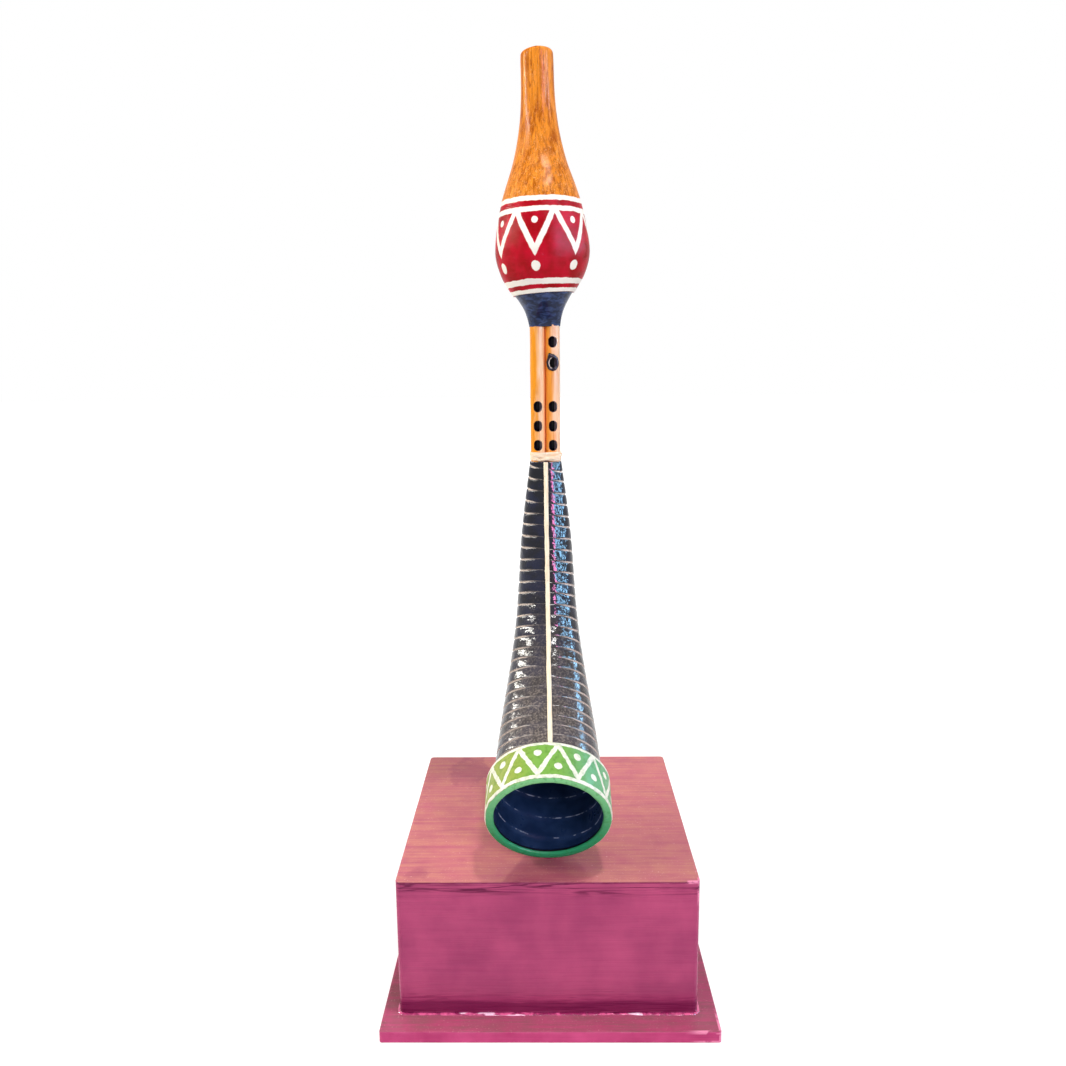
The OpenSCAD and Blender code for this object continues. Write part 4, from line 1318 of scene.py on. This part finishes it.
# Floor, light and camera
# A pale floor that runs into a white surround. Lamps on the left, in front and above only light the object.
# A white, a high and a pink window and twelve blue panes only show in its gloss.
world = bpy.data.worlds.new("surround")
bpy.context.scene.world = world
world.use_nodes = True
white_light = (1.0, 1.0, 1.0, 1.0)
surround_light = 0.47


def seen_directly(tree):
    """1 for the rays that show the surround itself: from the camera, or off gloss and through glass."""
    path = shade(tree, "LightPath")
    return either(path["Is Camera Ray"], path["Is Glossy Ray"], path["Is Transmission Ray"])


lifted = seen_directly(world.node_tree) * (1.0 - surround_light) + surround_light
backdrop = world.node_tree.nodes["Background"]
backdrop.inputs["Color"].default_value = white_light
lifted.into(backdrop.inputs["Strength"])

floor_reach = 6.0
floor = new_piece("floor", [(-floor_reach, -floor_reach, 0), (floor_reach, -floor_reach, 0),
                            (floor_reach, floor_reach, 0), (-floor_reach, floor_reach, 0)], [(0, 1, 2, 3)])
floor_finish, shader, place = new_finish("floor_white", Roughness=0.9, Specular_IOR_Level=0.0)
speckle = grain(place, 40 * mm)
mixed(speckle, (0.5, 0.5, 0.5, 1.0), (0.52, 0.52, 0.52, 1.0)).into(shader.inputs["Base Color"])
shader.inputs["Emission Color"].default_value = white_light
distance = shade(place.tree, "VectorMath", {0: place}, operation="LENGTH")["Value"]
glow = seen_directly(place.tree) * (ramp(distance, 0.12, 0.5) * 0.34 + 0.66)
glow.into(shader.inputs["Emission Strength"])
floor.data.materials.append(floor_finish)


def soft_lamp(name, spot, aim, size, roll, watts, colour, lights=True, shines=True):
    """A flat lamp facing its aim, rolled by degrees; it lights surfaces, shows in their gloss, or both."""
    lamp = bpy.data.lights.new(name, "AREA")
    lamp.shape = "RECTANGLE"
    lamp.size, lamp.size_y = size
    lamp.energy = watts
    lamp.color = colour
    holder = bpy.data.objects.new(name, lamp)
    facing = (Vector(aim) - Vector(spot)).to_track_quat("-Z", "Y").to_matrix().to_4x4()
    holder.matrix_world = Matrix.Translation(spot) @ facing @ Matrix.Rotation(math.radians(roll), 4, "Z")
    holder.visible_diffuse = lights
    holder.visible_glossy = shines
    bpy.context.scene.collection.objects.link(holder)


middle = (0, 0, 0.12)
soft_lamp("left_lamp", (-0.9, 0.0, 0.64), middle, (0.9, 0.1), 27, 8.0, (1.0, 0.95, 0.82), shines=False)
soft_lamp("front_lamp", (0.42, -0.76, 0.45), middle, (0.3, 0.3), 0, 4.0, (0.98, 0.94, 1.0), shines=False)
soft_lamp("top_lamp", (0.17, -0.1, 1.05), (0, 0, 0.1), (0.08, 0.08), 0, 3.3, (1.0, 0.98, 0.95), shines=False)
soft_lamp("white_window", (-0.8, 0.04, 0.57), middle, (1.05, 0.05), 27, 10.0, (1.0, 0.97, 0.88), lights=False)
soft_lamp("high_window", (0.28, -0.52, 0.96), middle, (0.42, 0.05), 0, 4.4, (1.0, 0.98, 0.96), lights=False)
soft_pink = (1.0, 0.26, 0.62)
soft_lamp("pink_window", (0.56, -0.77, 0.4), (0, 0, 0.15), (0.1, 0.75), 0, 11.0, soft_pink, lights=False)
soft_blue = (0.3, 0.64, 1.0)
pane_hub = Vector((0, 0, 0.13))
pane_away = 0.85
pane_turns = (
    (44, 8), (44, 24), (54, 14), (54, 30), (65, 8), (65, 24), (76, 14), (76, 32), (88, 8), (88, 24),
    (102, 16), (116, 20))
for index, (around, up) in enumerate(pane_turns):
    swing, lift = math.radians(around), math.radians(up)
    spot = Vector((math.sin(swing) * math.cos(lift), -math.cos(swing) * math.cos(lift), math.sin(lift)))
    spot = spot * pane_away + pane_hub
    soft_lamp("blue_pane_%d" % (index + 1), spot, pane_hub, (0.1, 0.13), 0, 1.6, soft_blue, lights=False)

# The camera stands where the photograph was taken from
photo_width = 1066
photo_focus = 940
camera_spot = (0.0, -332.2 * mm, 218.4 * mm)
camera_turn = math.radians(0.82)
camera_tip = math.radians(79.85)
camera_roll = math.radians(-0.57)
camera = bpy.data.cameras.new("camera")
camera.sensor_width = 36.0
camera.lens = 36.0 * photo_focus / photo_width
viewer = bpy.data.objects.new("camera", camera)
turn = Matrix.Rotation(camera_turn, 4, "Z") @ Matrix.Rotation(camera_tip, 4, "X")
turn = turn @ Matrix.Rotation(camera_roll, 4, "Z")
viewer.matrix_world = Matrix.Translation(camera_spot) @ turn
bpy.context.scene.collection.objects.link(viewer)
bpy.context.scene.camera = viewer
bpy.context.scene.view_settings.view_transform = "Standard"
